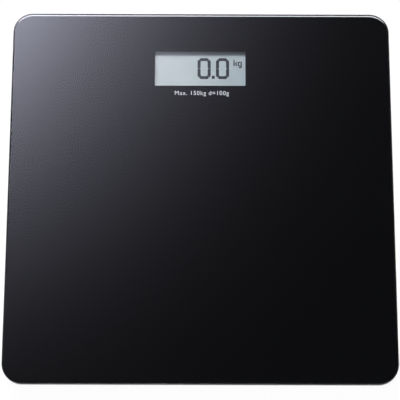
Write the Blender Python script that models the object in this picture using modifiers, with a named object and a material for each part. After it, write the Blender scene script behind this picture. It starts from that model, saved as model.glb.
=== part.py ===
"""Digital bathroom scale: a glass platform on four load-cell feet, with a display module under its far end.

Metres. The origin is on the floor under the middle of the platform, +Z is up, and +Y runs to the display end.
Run with: blender --background --python part.py
"""

import math

import bmesh
import bpy
from mathutils import Vector

# Fits
GAP = 0.0003  # left between two pieces that touch
RUNNING_GAP = 0.0004  # left round a piece that moves
CUT_OVERRUN = 0.001  # how far a cutter runs past the face that it opens

# Glass platform and the printed film under it
GLASS_WIDTH = 0.300
GLASS_DEPTH = 0.300
GLASS_THICKNESS = 0.006
GLASS_CORNER_RADIUS = 0.0155
GLASS_EDGE_ROUND = 0.0016
FILM_THICKNESS = 0.0003
FILM_INSET = 0.0016  # clear border between the film and the edge of the glass

# Display window
WINDOW_WIDTH = 0.072
WINDOW_DEPTH = 0.029
WINDOW_FROM_REAR = 0.0315  # rear edge of the glass to the rear edge of the window

# Adhesive foam under the film
TAPE_THICKNESS = 0.001

# Foot: travel, load cell, cup, sole
FOOT_EDGE_MARGIN = 0.004  # edge of the glass to the flange of a foot housing
FOOT_TRAVEL = 0.0003  # how far a load cell bends at full load
CELL_SIZE = 0.034
CELL_THICKNESS = 0.0026
CELL_CORNER_RADIUS = 0.006
TONGUE_WIDTH = 0.014
TONGUE_SLOT = 0.002
TONGUE_TIP = 0.009  # middle of the cell to the free end of its tongue
TONGUE_ROOT = 0.010  # middle of the cell to the fixed end of the slot
TONGUE_ROOM = 0.0009  # free depth under the tongue
GAUGE_LENGTH = 0.005
GAUGE_WIDTH = 0.006
GAUGE_THICKNESS = 0.0005
SOLE_RADIUS = 0.020
SOLE_THICKNESS = 0.002
SOLE_PROUD = 0.0012  # how far the sole stands out of the cup
SOLE_GROOVE = 0.0006
CUP_FLOOR = 0.0024
CUP_WALL = 0.0020  # at the corners of the load cell
CUP_RIM = 0.0012  # height of the rim above the load cell
CUP_FLANGE = 0.0016
CUP_FLANGE_HEIGHT = 0.0022
CUP_CHAMFER = 0.0008
HOOK_WIDTH = 0.006
HOOK_REACH = 0.0010

# Foot housing
HOUSING_CEILING = 0.002
HOUSING_WALL = 0.002
HOUSING_FLANGE = 0.003
HOUSING_FLANGE_THICKNESS = 0.0016
HOUSING_GROUND_CLEARANCE = 0.0044
HOUSING_TAPER = 0.001
HOUSING_ROUND = 0.0012
LIP_HEIGHT = 0.0018
BOSS_RADIUS = 0.004
BOSS_HEIGHT = 0.00385
BOSS_CLEARANCE = 0.00005  # left at full travel
TAPE_HOLE_RADIUS = 0.012
TAPE_MARGIN = 0.001

# Sensor cables and the ducts that carry them to the display module
CABLE_RADIUS = 0.001
DUCT_WIDTH = 0.009
DUCT_HEIGHT = 0.0046
DUCT_WALL = 0.001
DUCT_END_GAP = 0.0005
NOTCH_WIDTH = 0.005
NOTCH_INSIDE = 0.007  # how far a notch opens the ceiling, inside the skirt
CABLE_DROP = 0.0016  # front cables below their duct, just inside the display housing
CROSSING_MARGIN = 0.006  # how far a cable goes straight on inside the wall of the display housing
CABLE_PAD_INSET = 0.003  # front of the panel's holder to the end of a front cable

# Liquid crystal panel, its holder and its bezel
LCD_BELOW_GLASS = 0.0036
LCD_SIDE_BORDER = 0.005
LCD_END_BORDER = 0.004
LCD_LEDGE = 0.004
LCD_GLASS_THICKNESS = 0.0011
ZEBRA_WIDTH = 0.0024
ZEBRA_HEIGHT = 0.0024
HOLDER_WALL = 0.0012
BEZEL_MARGIN = 0.001  # opening in the bezel, beyond the window
BEZEL_OVERHANG = 0.0025  # bezel beyond the holder

# Circuit board
BOARD_THICKNESS = 0.0012
BOARD_MARGIN = 0.001
BOARD_REAR_MARGIN = 0.003
SCREW_FROM_HOLDER = 0.004
SCREW_EDGE = 0.0035  # screw to the edge of the board
SCREW_FROM_END = 0.008  # front screws from the front of the holder
SCREW_REAR_FROM_END = 0.004
SCREW_RADIUS = 0.001
SCREW_HEAD_RADIUS = 0.0019
SCREW_HEAD_HEIGHT = 0.0014
SCREW_LENGTH = 0.0034  # from the top of the board
SCREW_POST_RADIUS = 0.00275
CHIP_RADIUS = 0.006
CHIP_HEIGHT = 0.0014
CRYSTAL_SIZE = Vector((0.008, 0.0036, 0.0018))
CAPACITOR_SIZE = Vector((0.0036, 0.0028, 0.0018))

# Display housing
TRAY_FLOOR = 0.0014
TRAY_WALL = 0.002
TRAY_CORNER_RADIUS = 0.008
TRAY_FLANGE = 0.005
TRAY_FLANGE_THICKNESS = 0.0016
POST_HEIGHT = 0.0024
BOARD_TO_WALL = 0.002

# Unit switch and its button
BUTTON_X = 0.026
BUTTON_RADIUS = 0.004
BUTTON_FLANGE = 0.0012
BUTTON_FLANGE_THICKNESS = 0.0005
BUTTON_RECESS = 0.0002
BUTTON_TRAVEL = 0.00025
SWITCH_SIZE = 0.0052
SWITCH_HEIGHT = 0.001
PLUNGER_RADIUS = 0.0012

# Coin cell, its pocket, contacts and door
BATTERY_X = -0.014
COIN_RADIUS = 0.010
COIN_THICKNESS = 0.0032
COIN_CAP_INSET = 0.0012
COIN_SIDE_GAP = 0.0008
COIN_FRONT_GAP = 0.001
COIN_REAR_ROOM = 0.005  # for the positive contact and the hinge
POCKET_WALL = 0.002
POCKET_CEILING = 0.001
CONTACT_THICKNESS = 0.0004
CONTACT_WIDTH = 0.007
CONTACT_TAIL = 0.0012  # above the ceiling of the pocket
LEAD_RADIUS = 0.0005
DOOR_THICKNESS = 0.0016
HINGE_RADIUS = 0.0014
HINGE_PIN_RADIUS = 0.00065
HINGE_PIN_LENGTH = 0.001
LATCH_WIDTH = 0.008
LATCH_SLIT = 0.0008
LATCH_LENGTH = 0.006
LATCH_NIB = 0.00025

# Number of sides on round pieces
FINE_STEPS = 28
COARSE_STEPS = 20
CORNER_STEPS = 6

# Heights, from the floor up to the glass
cup_bottom = SOLE_PROUD
recess_top = SOLE_THICKNESS + GAP
cell_seat = recess_top + CUP_FLOOR
cell_bottom = cell_seat + GAP
cell_top = cell_bottom + CELL_THICKNESS
cup_top = cell_top + CUP_RIM
boss_bottom = cell_top + FOOT_TRAVEL + BOSS_CLEARANCE
ceiling_bottom = boss_bottom + BOSS_HEIGHT
housing_top = ceiling_bottom + HOUSING_CEILING
tape_bottom = housing_top + GAP
tape_top = tape_bottom + TAPE_THICKNESS
film_bottom = tape_top + GAP
film_top = film_bottom + FILM_THICKNESS
glass_bottom = film_top + GAP
glass_top = glass_bottom + GLASS_THICKNESS

# Heights, from the glass down to the underside of the display housing
lcd_top = glass_bottom - LCD_BELOW_GLASS
front_glass_bottom = lcd_top - LCD_GLASS_THICKNESS
rear_glass_top = front_glass_bottom - GAP
rear_glass_bottom = rear_glass_top - LCD_GLASS_THICKNESS
zebra_top = front_glass_bottom - GAP
zebra_bottom = zebra_top - ZEBRA_HEIGHT
board_top = zebra_bottom - GAP
board_bottom = board_top - BOARD_THICKNESS
tray_inside = board_bottom - GAP - POST_HEIGHT
tray_bottom = tray_inside - TRAY_FLOOR
cable_height = tape_bottom - GAP - CABLE_RADIUS
board_cable_height = board_top + GAP + CABLE_RADIUS

# Foot radii
cell_reach = math.sqrt(0.5) * (CELL_SIZE - 2 * CELL_CORNER_RADIUS) + CELL_CORNER_RADIUS
cup_radius = cell_reach + GAP + CUP_WALL
cup_flange_radius = cup_radius + CUP_FLANGE
cavity_radius = cup_flange_radius + 1.5 * RUNNING_GAP
lip_radius = cup_radius + 2 * RUNNING_GAP
skirt_radius = cavity_radius + HOUSING_WALL
housing_radius = skirt_radius + HOUSING_TAPER + HOUSING_FLANGE
lip_top = HOUSING_GROUND_CLEARANCE + LIP_HEIGHT
foot_x = GLASS_WIDTH / 2 - FOOT_EDGE_MARGIN - housing_radius
foot_y = GLASS_DEPTH / 2 - FOOT_EDGE_MARGIN - housing_radius

# Plan of the display module
window_y = GLASS_DEPTH / 2 - WINDOW_FROM_REAR - WINDOW_DEPTH / 2
lcd_half_width = WINDOW_WIDTH / 2 + LCD_SIDE_BORDER
lcd_rear = window_y + WINDOW_DEPTH / 2 + LCD_END_BORDER
lcd_front = window_y - WINDOW_DEPTH / 2 - LCD_END_BORDER
ledge_front = lcd_front - LCD_LEDGE
zebra_y = (lcd_front + ledge_front) / 2
holder_half_width = lcd_half_width + GAP + HOLDER_WALL
holder_rear = lcd_rear + GAP + HOLDER_WALL
holder_front = ledge_front - GAP - HOLDER_WALL
screw_x = holder_half_width + SCREW_FROM_HOLDER
board_half_width = screw_x + SCREW_EDGE
board_rear = holder_rear + BOARD_REAR_MARGIN
board_front = holder_front - BOARD_MARGIN
pocket_rear = board_front - GAP - POCKET_WALL
pocket_front = pocket_rear - COIN_REAR_ROOM - 2 * COIN_RADIUS - COIN_FRONT_GAP
pocket_half_width = COIN_RADIUS + COIN_SIDE_GAP
pocket_ceiling = tray_bottom + DOOR_THICKNESS + COIN_THICKNESS + CONTACT_THICKNESS + 3 * GAP
coin_y = pocket_front + COIN_FRONT_GAP + COIN_RADIUS
tray_half_width = board_half_width + BOARD_TO_WALL + TRAY_WALL
tray_rear = board_rear + GAP + TRAY_WALL
tray_front = pocket_front - POCKET_WALL - TRAY_WALL
tray_y = (tray_rear + tray_front) / 2
tray_depth = tray_rear - tray_front
tab_front = tray_front + TRAY_WALL + 2 * BOARD_TO_WALL
button_y = coin_y
hinge_y = pocket_rear - GAP - HINGE_RADIUS
hinge_z = tray_bottom + HINGE_RADIUS
cable_entry_x = tray_half_width - TRAY_WALL - 0.8 * TRAY_CORNER_RADIUS

FEET = {"front_left": (-1, -1), "front_right": (1, -1), "rear_left": (-1, 1), "rear_right": (1, 1)}


# Modelling helpers


def start_collections():
    for old in list(bpy.data.objects):
        bpy.data.objects.remove(old, do_unlink=True)
    made = {}
    for name in ("bathroom_scale", "cutters"):
        made[name] = bpy.data.collections.new(name)
        bpy.context.scene.collection.children.link(made[name])
    return made


def make_materials():
    """One Principled material for each finish: colour, roughness, metallic."""
    finishes = {
        "clear_glass": ((0.80, 0.88, 0.86), 0.04, 0.0),
        "black_film": ((0.012, 0.012, 0.015), 0.35, 0.0),
        "black_foam": ((0.02, 0.02, 0.02), 0.9, 0.0),
        "black_plastic": ((0.022, 0.022, 0.024), 0.45, 0.0),
        "white_plastic": ((0.80, 0.80, 0.78), 0.4, 0.0),
        "grey_rubber": ((0.16, 0.16, 0.165), 0.75, 0.0),
        "cell_steel": ((0.55, 0.56, 0.58), 0.35, 1.0),
        "contact_steel": ((0.66, 0.66, 0.64), 0.25, 1.0),
        "gauge_sealant": ((0.85, 0.84, 0.80), 0.5, 0.0),
        "lcd_glass": ((0.50, 0.56, 0.58), 0.15, 0.0),
        "board_green": ((0.02, 0.16, 0.07), 0.4, 0.0),
        "chip_black": ((0.01, 0.01, 0.01), 0.3, 0.0),
        "zebra_rubber": ((0.75, 0.45, 0.50), 0.6, 0.0),
        "cable_grey": ((0.30, 0.30, 0.31), 0.5, 0.0),
        "lead_red": ((0.60, 0.03, 0.02), 0.5, 0.0),
        "lead_black": ((0.015, 0.015, 0.015), 0.5, 0.0),
    }
    looks = {}
    for name, (colour, roughness, metallic) in finishes.items():
        look = bpy.data.materials.new(name)
        look.use_nodes = True
        shader = look.node_tree.nodes["Principled BSDF"]
        shader.inputs["Base Color"].default_value = (*colour, 1.0)
        shader.inputs["Roughness"].default_value = roughness
        shader.inputs["Metallic"].default_value = metallic
        looks[name] = look
    return looks


def add_object(name, data, look, location=(0, 0, 0), turn=0.0, parent=None):
    """Links an object into the scale; without a look it becomes a hidden cutter."""
    obj = bpy.data.objects.new(name, data)
    collections["bathroom_scale" if look else "cutters"].objects.link(obj)
    obj.location = location
    obj.rotation_euler = (0, 0, turn)
    obj.parent = parent
    if look:
        data.materials.append(looks[look])
    else:
        obj.hide_render = True
        obj.display_type = "WIRE"
    return obj


def add_empty(name, location, turn=0.0):
    empty = bpy.data.objects.new(name, None)
    collections["bathroom_scale"].objects.link(empty)
    empty.location = location
    empty.rotation_euler = (0, 0, turn)
    return empty


def block(name, low, high, look=None, parent=None):
    """A box between two corners."""
    low, high = Vector(low), Vector(high)
    mesh = bpy.data.meshes.new(name)
    bm = bmesh.new()
    bmesh.ops.create_cube(bm, size=1.0)
    bmesh.ops.scale(bm, vec=high - low, verts=bm.verts)
    bm.to_mesh(mesh)
    bm.free()
    return add_object(name, mesh, look, (low + high) / 2, parent=parent)


def rod(name, radius, length, centre, axis="Z", look=None, parent=None, steps=COARSE_STEPS):
    """A cylinder along one of the axes."""
    mesh = bpy.data.meshes.new(name)
    bm = bmesh.new()
    bmesh.ops.create_cone(bm, cap_ends=True, segments=steps, radius1=radius, radius2=radius, depth=length)
    bm.to_mesh(mesh)
    bm.free()
    smooth(mesh)
    obj = add_object(name, mesh, look, centre, parent=parent)
    if axis == "X":
        obj.rotation_euler = (0, math.pi / 2, 0)
    return obj


def smooth(mesh):
    mesh.shade_smooth()
    mesh.set_sharp_from_angle(angle=math.radians(35))


def turned(name, profile, look=None, parent=None, location=(0, 0, 0), steps=FINE_STEPS):
    """A solid of revolution: (radius, height) points that run down its outer side."""
    mesh = bpy.data.meshes.new(name)
    points = [(radius, 0, height) for radius, height in profile]
    edges = [(i, i + 1) for i in range(len(points) - 1)]
    on_axis = profile[0][0] == 0 and profile[-1][0] == 0
    if not on_axis:
        edges.append((len(points) - 1, 0))
    mesh.from_pydata(points, edges, [])
    obj = add_object(name, mesh, look, location, parent=parent)
    screw = obj.modifiers.new("turn", "SCREW")
    screw.steps = screw.render_steps = steps
    screw.use_merge_vertices = True
    screw.merge_threshold = 0.00001
    screw.use_smooth_shade = False
    return obj


def arc(centre, radius, start, end, steps=4):
    """Points on an arc, from start to end degrees."""
    angles = [math.radians(start + (end - start) * i / steps) for i in range(steps + 1)]
    return [(centre[0] + radius * math.cos(a), centre[1] + radius * math.sin(a)) for a in angles]


def rounded_rectangle(width, depth, radius, centre=(0, 0), steps=CORNER_STEPS):
    """An anticlockwise outline with round corners."""
    across, along = width / 2 - radius, depth / 2 - radius
    outline = []
    for i, (x, y) in enumerate([(across, along), (-across, along), (-across, -along), (across, -along)]):
        outline += arc((centre[0] + x, centre[1] + y), radius, 90 * i, 90 * (i + 1), steps)
    return outline


def plate(name, outlines, bottom, top, look=None, parent=None, solid_mesh=False):
    """A flat piece between two heights; outlines after the first are holes in it."""
    curve = bpy.data.curves.new(name, "CURVE")
    curve.dimensions = "2D"
    curve.fill_mode = "BOTH"
    curve.extrude = (top - bottom) / 2
    for outline in outlines:
        spline = curve.splines.new("POLY")
        spline.points.add(len(outline) - 1)
        spline.use_cyclic_u = True
        for point, (x, y) in zip(spline.points, outline):
            point.co = (x, y, 0, 1)
    obj = add_object(name, curve, look, (0, 0, (bottom + top) / 2), parent=parent)
    return as_mesh(obj) if solid_mesh or not look else obj


def as_mesh(curve_object):
    """Swaps a curve object for its welded mesh, which Boolean and Bevel modifiers can use."""
    name, parent = curve_object.name, curve_object.parent
    evaluated = curve_object.evaluated_get(bpy.context.evaluated_depsgraph_get())
    mesh = bpy.data.meshes.new_from_object(evaluated)
    bm = bmesh.new()
    bm.from_mesh(mesh)
    bmesh.ops.remove_doubles(bm, verts=bm.verts, dist=0.00001)
    bm.to_mesh(mesh)
    bm.free()
    obj = bpy.data.objects.new(name, mesh)
    curve_object.users_collection[0].objects.link(obj)
    obj.hide_render = curve_object.hide_render
    obj.display_type = curve_object.display_type
    obj.parent = parent
    obj.location = curve_object.location
    obj.rotation_euler = curve_object.rotation_euler
    bpy.data.objects.remove(curve_object)
    obj.name = name
    return obj


def combine(target, operation, others):
    for other in others:
        modifier = target.modifiers.new(other.name, "BOOLEAN")
        modifier.operation = operation
        modifier.object = other


def cut(target, *cutters):
    combine(target, "DIFFERENCE", cutters)


def join(target, *others):
    combine(target, "UNION", others)


def round_edges(obj, width, segments, angle=60):
    bevel = obj.modifiers.new("round", "BEVEL")
    bevel.width = width
    bevel.segments = segments
    bevel.limit_method = "ANGLE"
    bevel.angle_limit = math.radians(angle)


def strip(name, path, width, look, location):
    """Bent sheet metal: a path of (along, up) points, drawn across its width and thickened."""
    mesh = bpy.data.meshes.new(name)
    count = len(path)
    points = [(x, side * width / 2, z) for side in (-1, 1) for x, z in path]
    faces = [(i, i + 1, count + i + 1, count + i) for i in range(count - 1)]
    mesh.from_pydata(points, [], faces)
    obj = add_object(name, mesh, look, location)
    shell = obj.modifiers.new("sheet", "SOLIDIFY")
    shell.thickness = CONTACT_THICKNESS
    shell.offset = 0
    shell.use_even_offset = True
    return obj


def smooth_route(points, spacing):
    """Points at about the given spacing on a smooth curve through the route's own points."""
    ends = [2 * points[0] - points[1], *points, 2 * points[-1] - points[-2]]
    route = []
    for before, a, b, after in zip(ends, ends[1:], ends[2:], ends[3:]):
        pieces = max(1, round((b - a).length / spacing))
        for i in range(pieces):
            t = i / pieces
            route.append(
                0.5 * (2 * a + (b - before) * t + (2 * before - 5 * a + 4 * b - after) * t**2
                       + (3 * a - before - 3 * b + after) * t**3)
            )
    return [*route, points[-1]]


def wire(name, route, radius, look):
    """A round cable along a route."""
    curve = bpy.data.curves.new(name, "CURVE")
    curve.dimensions = "3D"
    curve.bevel_depth = radius
    curve.bevel_resolution = 2
    curve.use_fill_caps = True
    spline = curve.splines.new("POLY")
    spline.points.add(len(route) - 1)
    for point, place in zip(spline.points, route):
        point.co = (*place, 1)
    return add_object(name, curve, look)


# Platform


def build_platform():
    outline = rounded_rectangle(GLASS_WIDTH, GLASS_DEPTH, GLASS_CORNER_RADIUS, steps=8)
    glass = plate("glass_platform", [outline], glass_bottom, glass_top, "clear_glass", solid_mesh=True)
    round_edges(glass, GLASS_EDGE_ROUND, 2)

    film = rounded_rectangle(
        GLASS_WIDTH - 2 * FILM_INSET, GLASS_DEPTH - 2 * FILM_INSET, GLASS_CORNER_RADIUS - FILM_INSET
    )
    window = rounded_rectangle(WINDOW_WIDTH, WINDOW_DEPTH, 0.0005, (0, window_y), 2)
    plate("printed_film", [film, window], film_bottom, film_top, "black_film")


# Feet. Each is built round its own empty, whose +X points the way that its cable leaves.


def foot_places():
    """(name, middle of the foot, point where its duct meets the display housing) for each foot."""
    rear_entry_x = tray_half_width + TRAY_FLANGE
    front_entry_y = tray_front - TRAY_FLANGE
    for name, (side, end) in FEET.items():
        middle = Vector((side * foot_x, end * foot_y, 0))
        if end > 0:
            entry_y = min(foot_y, tray_rear - TRAY_WALL - DUCT_WIDTH)
            yield name, middle, Vector((side * rear_entry_x, entry_y, 0))
        else:
            yield name, middle, Vector((side * cable_entry_x, front_entry_y, 0))


def build_foot(name, middle, entry):
    away = entry - middle
    foot = add_empty("foot_" + name, middle, math.atan2(away.y, away.x))
    build_mount_tape(name, foot)
    build_housing(name, foot)
    build_load_cell(name, foot)
    build_cup(name, foot)
    build_sole(name, foot)
    return foot


def build_mount_tape(name, foot):
    outer, inner = housing_radius - TAPE_MARGIN, TAPE_HOLE_RADIUS
    profile = [(inner, tape_top), (outer, tape_top), (outer, tape_bottom), (inner, tape_bottom)]
    turned("foot_tape_" + name, profile, "black_foam", foot)


def build_housing(name, foot):
    flange_bottom = housing_top - HOUSING_FLANGE_THICKNESS
    skirt_bottom = HOUSING_GROUND_CLEARANCE
    profile = [
        (0, housing_top),
        (housing_radius, housing_top),
        (housing_radius, flange_bottom),
        (skirt_radius + HOUSING_TAPER, flange_bottom),
        *arc((skirt_radius - HOUSING_ROUND, skirt_bottom + HOUSING_ROUND), HOUSING_ROUND, 0, -90, 2),
        (lip_radius, skirt_bottom),
        (lip_radius, lip_top),
        (cavity_radius, lip_top + GAP),
        (cavity_radius, ceiling_bottom),
        (BOSS_RADIUS, ceiling_bottom),
        (BOSS_RADIUS, boss_bottom),
        (0, boss_bottom),
    ]
    housing = turned("foot_housing_" + name, profile, "black_plastic", foot)
    notch_bottom = cup_top + FOOT_TRAVEL
    notch = block(
        "cable_notch_" + name,
        (cavity_radius - NOTCH_INSIDE, -NOTCH_WIDTH / 2, notch_bottom),
        (housing_radius + CUT_OVERRUN, NOTCH_WIDTH / 2, housing_top + CUT_OVERRUN),
        parent=foot,
    )
    cut(housing, notch)


def build_load_cell(name, foot):
    square = rounded_rectangle(CELL_SIZE, CELL_SIZE, CELL_CORNER_RADIUS)
    tip, root, half = -TONGUE_TIP, TONGUE_ROOT, TONGUE_WIDTH / 2
    far, side = tip - TONGUE_SLOT, half + TONGUE_SLOT
    slot = [(root, side), (far, side), (far, -side), (root, -side), (root, -half), (tip, -half), (tip, half),
            (root, half)]
    plate("load_cell_" + name, [square, slot], cell_bottom, cell_top, "cell_steel", foot)

    gauge_start = BOSS_RADIUS + 2 * GAP
    block(
        "strain_gauge_" + name,
        (gauge_start, -GAUGE_WIDTH / 2, cell_top + GAP),
        (gauge_start + GAUGE_LENGTH, GAUGE_WIDTH / 2, cell_top + GAP + GAUGE_THICKNESS),
        "gauge_sealant",
        foot,
    )


def build_cup(name, foot):
    """The cup carries the load cell; its flange hangs on the housing's lip when the scale is lifted."""
    flange_bottom = cup_top - CUP_FLANGE_HEIGHT
    recess_radius = SOLE_RADIUS + GAP
    profile = [
        (0, cup_top),
        (cup_flange_radius, cup_top),
        (cup_flange_radius, flange_bottom),
        (cup_radius, flange_bottom),
        (cup_radius, cup_bottom + CUP_CHAMFER),
        (cup_radius - CUP_CHAMFER, cup_bottom),
        (recess_radius, cup_bottom),
        (recess_radius, recess_top),
        (0, recess_top),
    ]
    cup = turned("foot_cup_" + name, profile, "black_plastic", foot)
    opening = CELL_SIZE + 2 * GAP
    square = rounded_rectangle(opening, opening, CELL_CORNER_RADIUS + GAP)
    cell_pocket = plate("cell_pocket_" + name, [square], cell_seat, cup_top + CUT_OVERRUN, parent=foot)
    side = TONGUE_WIDTH / 2 + TONGUE_SLOT
    tongue_room = block(
        "tongue_room_" + name,
        (-TONGUE_TIP - TONGUE_SLOT, -side, cell_seat - TONGUE_ROOM),
        (TONGUE_ROOT, side, cell_seat + CUT_OVERRUN),
        parent=foot,
    )
    cut(cup, cell_pocket, tongue_room)

    hook_bottom = cell_top + GAP
    reach_in, root = CELL_SIZE / 2 - HOOK_REACH, CELL_SIZE / 2 + CUP_WALL
    half = HOOK_WIDTH / 2
    hook_top = cup_top - GAP
    hooks = [
        block("hook_rear_" + name, (-root, -half, hook_bottom), (-reach_in, half, hook_top), parent=foot),
        block("hook_left_" + name, (-half, reach_in, hook_bottom), (half, root, hook_top), parent=foot),
        block("hook_right_" + name, (-half, -root, hook_bottom), (half, -reach_in, hook_top), parent=foot),
    ]
    join(cup, *hooks)


def build_sole(name, foot):
    """A rubber disc with one round groove in its tread."""
    groove_in, groove_out = SOLE_RADIUS * 0.6, SOLE_RADIUS * 0.72
    profile = [
        (0, SOLE_THICKNESS),
        (SOLE_RADIUS, SOLE_THICKNESS),
        (SOLE_RADIUS, GAP),
        (SOLE_RADIUS - GAP, 0),
        (groove_out, 0),
        (groove_out, SOLE_GROOVE),
        (groove_in, SOLE_GROOVE),
        (groove_in, 0),
        (0, 0),
    ]
    turned("foot_sole_" + name, profile, "grey_rubber", foot)


# Ducts and cables


def build_duct(name, foot, middle, entry):
    """A channel glued under the film, cut at its far end to meet the display housing squarely."""
    away = entry - middle
    start, end, half = housing_radius + DUCT_END_GAP, away.length, DUCT_WIDTH / 2
    if middle.y < 0:
        mitre = (away.x / away.y) * half
        end -= DUCT_END_GAP * away.length / away.y
    else:
        mitre = -(away.y / away.x) * half
        end -= DUCT_END_GAP * away.length / abs(away.x)
    top, bottom = tape_top, tape_top - DUCT_HEIGHT
    outline = [(start, -half), (end + mitre, -half), (end - mitre, half), (start, half)]
    duct = plate("cable_duct_" + name, [outline], bottom, top, "black_plastic", foot, solid_mesh=True)
    inside = half - DUCT_WALL
    channel = block(
        "duct_channel_" + name,
        (start - DUCT_WIDTH, -inside, bottom + DUCT_WALL),
        (end + DUCT_WIDTH, inside, top + CUT_OVERRUN),
        parent=foot,
    )
    cut(duct, channel)


def wall_crossing(away):
    """How far a cable goes straight on from its duct, through the display housing's flange and wall."""
    return (TRAY_FLANGE + TRAY_WALL) / max(abs(away.x), abs(away.y)) + CROSSING_MARGIN


def build_sensor_cable(name, middle, entry):
    """From the strain gauge, over the cup's rim, through the notch and duct, down to the circuit board."""
    away = (entry - middle).normalized()
    side = math.copysign(1, middle.x)
    start_height = cup_top + FOOT_TRAVEL + GAP + CABLE_RADIUS

    def at(distance, height):
        point = middle + away * distance
        return Vector((point.x, point.y, height))

    notch_start = cavity_radius - NOTCH_INSIDE
    inside_foot = [
        at(TONGUE_ROOT + GAP, start_height),
        at(notch_start, start_height),
        at(cavity_radius, (start_height + cable_height) / 2),
        at(housing_radius, cable_height),
    ]
    inside = entry + away * wall_crossing(away)
    if middle.y < 0:
        pad_x, pad_y = side * (board_half_width - 2 * CABLE_RADIUS), holder_front + CABLE_PAD_INSET
        pad = Vector((pad_x, pad_y, board_cable_height))
        landing = Vector((*inside.lerp(pad, 0.6).xy, board_cable_height + GAP))
        inside_tray = [Vector((*inside.xy, cable_height - CABLE_DROP)), landing, pad]
    else:
        inside_tray = [Vector((*inside.xy, board_cable_height))]
    halfway = middle.lerp(entry, 0.5)
    points = [
        *inside_foot,
        Vector((*halfway.xy, cable_height)),
        Vector((*entry.xy, cable_height)),
        *inside_tray,
    ]
    wire("sensor_cable_" + name, smooth_route(points, 6 * CABLE_RADIUS), CABLE_RADIUS, "cable_grey")


# Display module


def build_tape_frame():
    width = 2 * (tray_half_width + TRAY_FLANGE) - TAPE_MARGIN
    depth = tray_depth + 2 * TRAY_FLANGE - TAPE_MARGIN
    outline = rounded_rectangle(width, depth, TRAY_CORNER_RADIUS + TRAY_FLANGE, (0, tray_y))
    opening = rounded_rectangle(
        WINDOW_WIDTH + 4 * BEZEL_MARGIN, WINDOW_DEPTH + 4 * BEZEL_MARGIN, 0.002, (0, window_y), 2
    )
    plate("display_tape", [outline, opening], tape_bottom, tape_top, "black_foam")


def build_housing_tray():
    """The shell that hangs under the glass, with its battery pocket and the posts for the circuit board."""
    width = 2 * tray_half_width
    centre = (0, tray_y)
    body = rounded_rectangle(width, tray_depth, TRAY_CORNER_RADIUS, centre)
    tray = plate("display_housing", [body], tray_bottom, housing_top, "black_plastic", solid_mesh=True)
    flange = rounded_rectangle(
        width + 2 * TRAY_FLANGE, tray_depth + 2 * TRAY_FLANGE, TRAY_CORNER_RADIUS + TRAY_FLANGE, centre
    )
    join(tray, plate("tray_flange", [flange], housing_top - TRAY_FLANGE_THICKNESS, housing_top))
    inside = rounded_rectangle(
        width - 2 * TRAY_WALL, tray_depth - 2 * TRAY_WALL, TRAY_CORNER_RADIUS - TRAY_WALL, centre
    )
    cut(tray, plate("tray_inside", [inside], tray_inside, housing_top + CUT_OVERRUN))

    left, right = BATTERY_X - pocket_half_width - POCKET_WALL, BATTERY_X + pocket_half_width + POCKET_WALL
    pocket = block(
        "pocket_block",
        (left, tray_front + TRAY_WALL / 2, tray_bottom + TRAY_FLOOR / 2),
        (right, pocket_rear + POCKET_WALL, pocket_ceiling + POCKET_CEILING),
    )
    posts = [
        rod(f"post_{i}", SCREW_POST_RADIUS, POST_HEIGHT + TRAY_FLOOR / 2,
            (x, y, tray_inside + POST_HEIGHT / 2 - TRAY_FLOOR / 4), steps=16)
        for i, (x, y) in enumerate(screw_places())
    ]
    join(tray, pocket, *posts)
    cut(tray, *tray_openings())


def screw_places():
    front, rear = holder_front + SCREW_FROM_END, holder_rear - SCREW_REAR_FROM_END
    return [(side * screw_x, y) for y in (front, rear) for side in (-1, 1)]


def tray_openings():
    """Cutters for the battery pocket, contacts, hinge, button, screws and cables."""
    pocket_inside = block(
        "pocket_inside",
        (BATTERY_X - pocket_half_width, pocket_front, tray_bottom - CUT_OVERRUN),
        (BATTERY_X + pocket_half_width, pocket_rear, pocket_ceiling),
    )
    slot_low, slot_high = pocket_ceiling - CUT_OVERRUN, pocket_ceiling + POCKET_CEILING + CUT_OVERRUN
    slot_half = CONTACT_WIDTH / 2 + GAP
    slot_gap = CONTACT_THICKNESS / 2 + GAP
    positive_y = coin_y + COIN_RADIUS + GAP + CONTACT_THICKNESS / 2
    positive_slot = block(
        "positive_slot",
        (BATTERY_X - slot_half, positive_y - slot_gap, slot_low),
        (BATTERY_X + slot_half, positive_y + slot_gap, slot_high),
    )
    negative_x = BATTERY_X + negative_tail_offset()
    negative_slot = block(
        "negative_slot",
        (negative_x - slot_gap, coin_y - slot_half, slot_low),
        (negative_x + slot_gap, coin_y + slot_half, slot_high),
    )
    hinge_hole = rod(
        "hinge_hole",
        HINGE_PIN_RADIUS + GAP,
        2 * (pocket_half_width + HINGE_PIN_LENGTH + GAP),
        (BATTERY_X, hinge_y, hinge_z),
        axis="X",
    )
    thumb_scoop = rod(
        "thumb_scoop", 1.5 * LATCH_WIDTH, LATCH_WIDTH,
        (BATTERY_X, pocket_front - GAP, tray_bottom - 1.5 * LATCH_WIDTH + TRAY_FLOOR / 2), axis="X", steps=96,
    )
    button_hole = rod(
        "button_hole", BUTTON_RADIUS + RUNNING_GAP, 4 * TRAY_FLOOR, (BUTTON_X, button_y, tray_bottom)
    )
    screw_holes = [
        rod(f"screw_hole_{i}", SCREW_RADIUS + GAP, 2 * POST_HEIGHT,
            (x, y, tray_inside + POST_HEIGHT + GAP), steps=12)
        for i, (x, y) in enumerate(screw_places())
    ]
    return [pocket_inside, positive_slot, negative_slot, hinge_hole, thumb_scoop, button_hole, *screw_holes,
            *tray_notches()]


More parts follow.
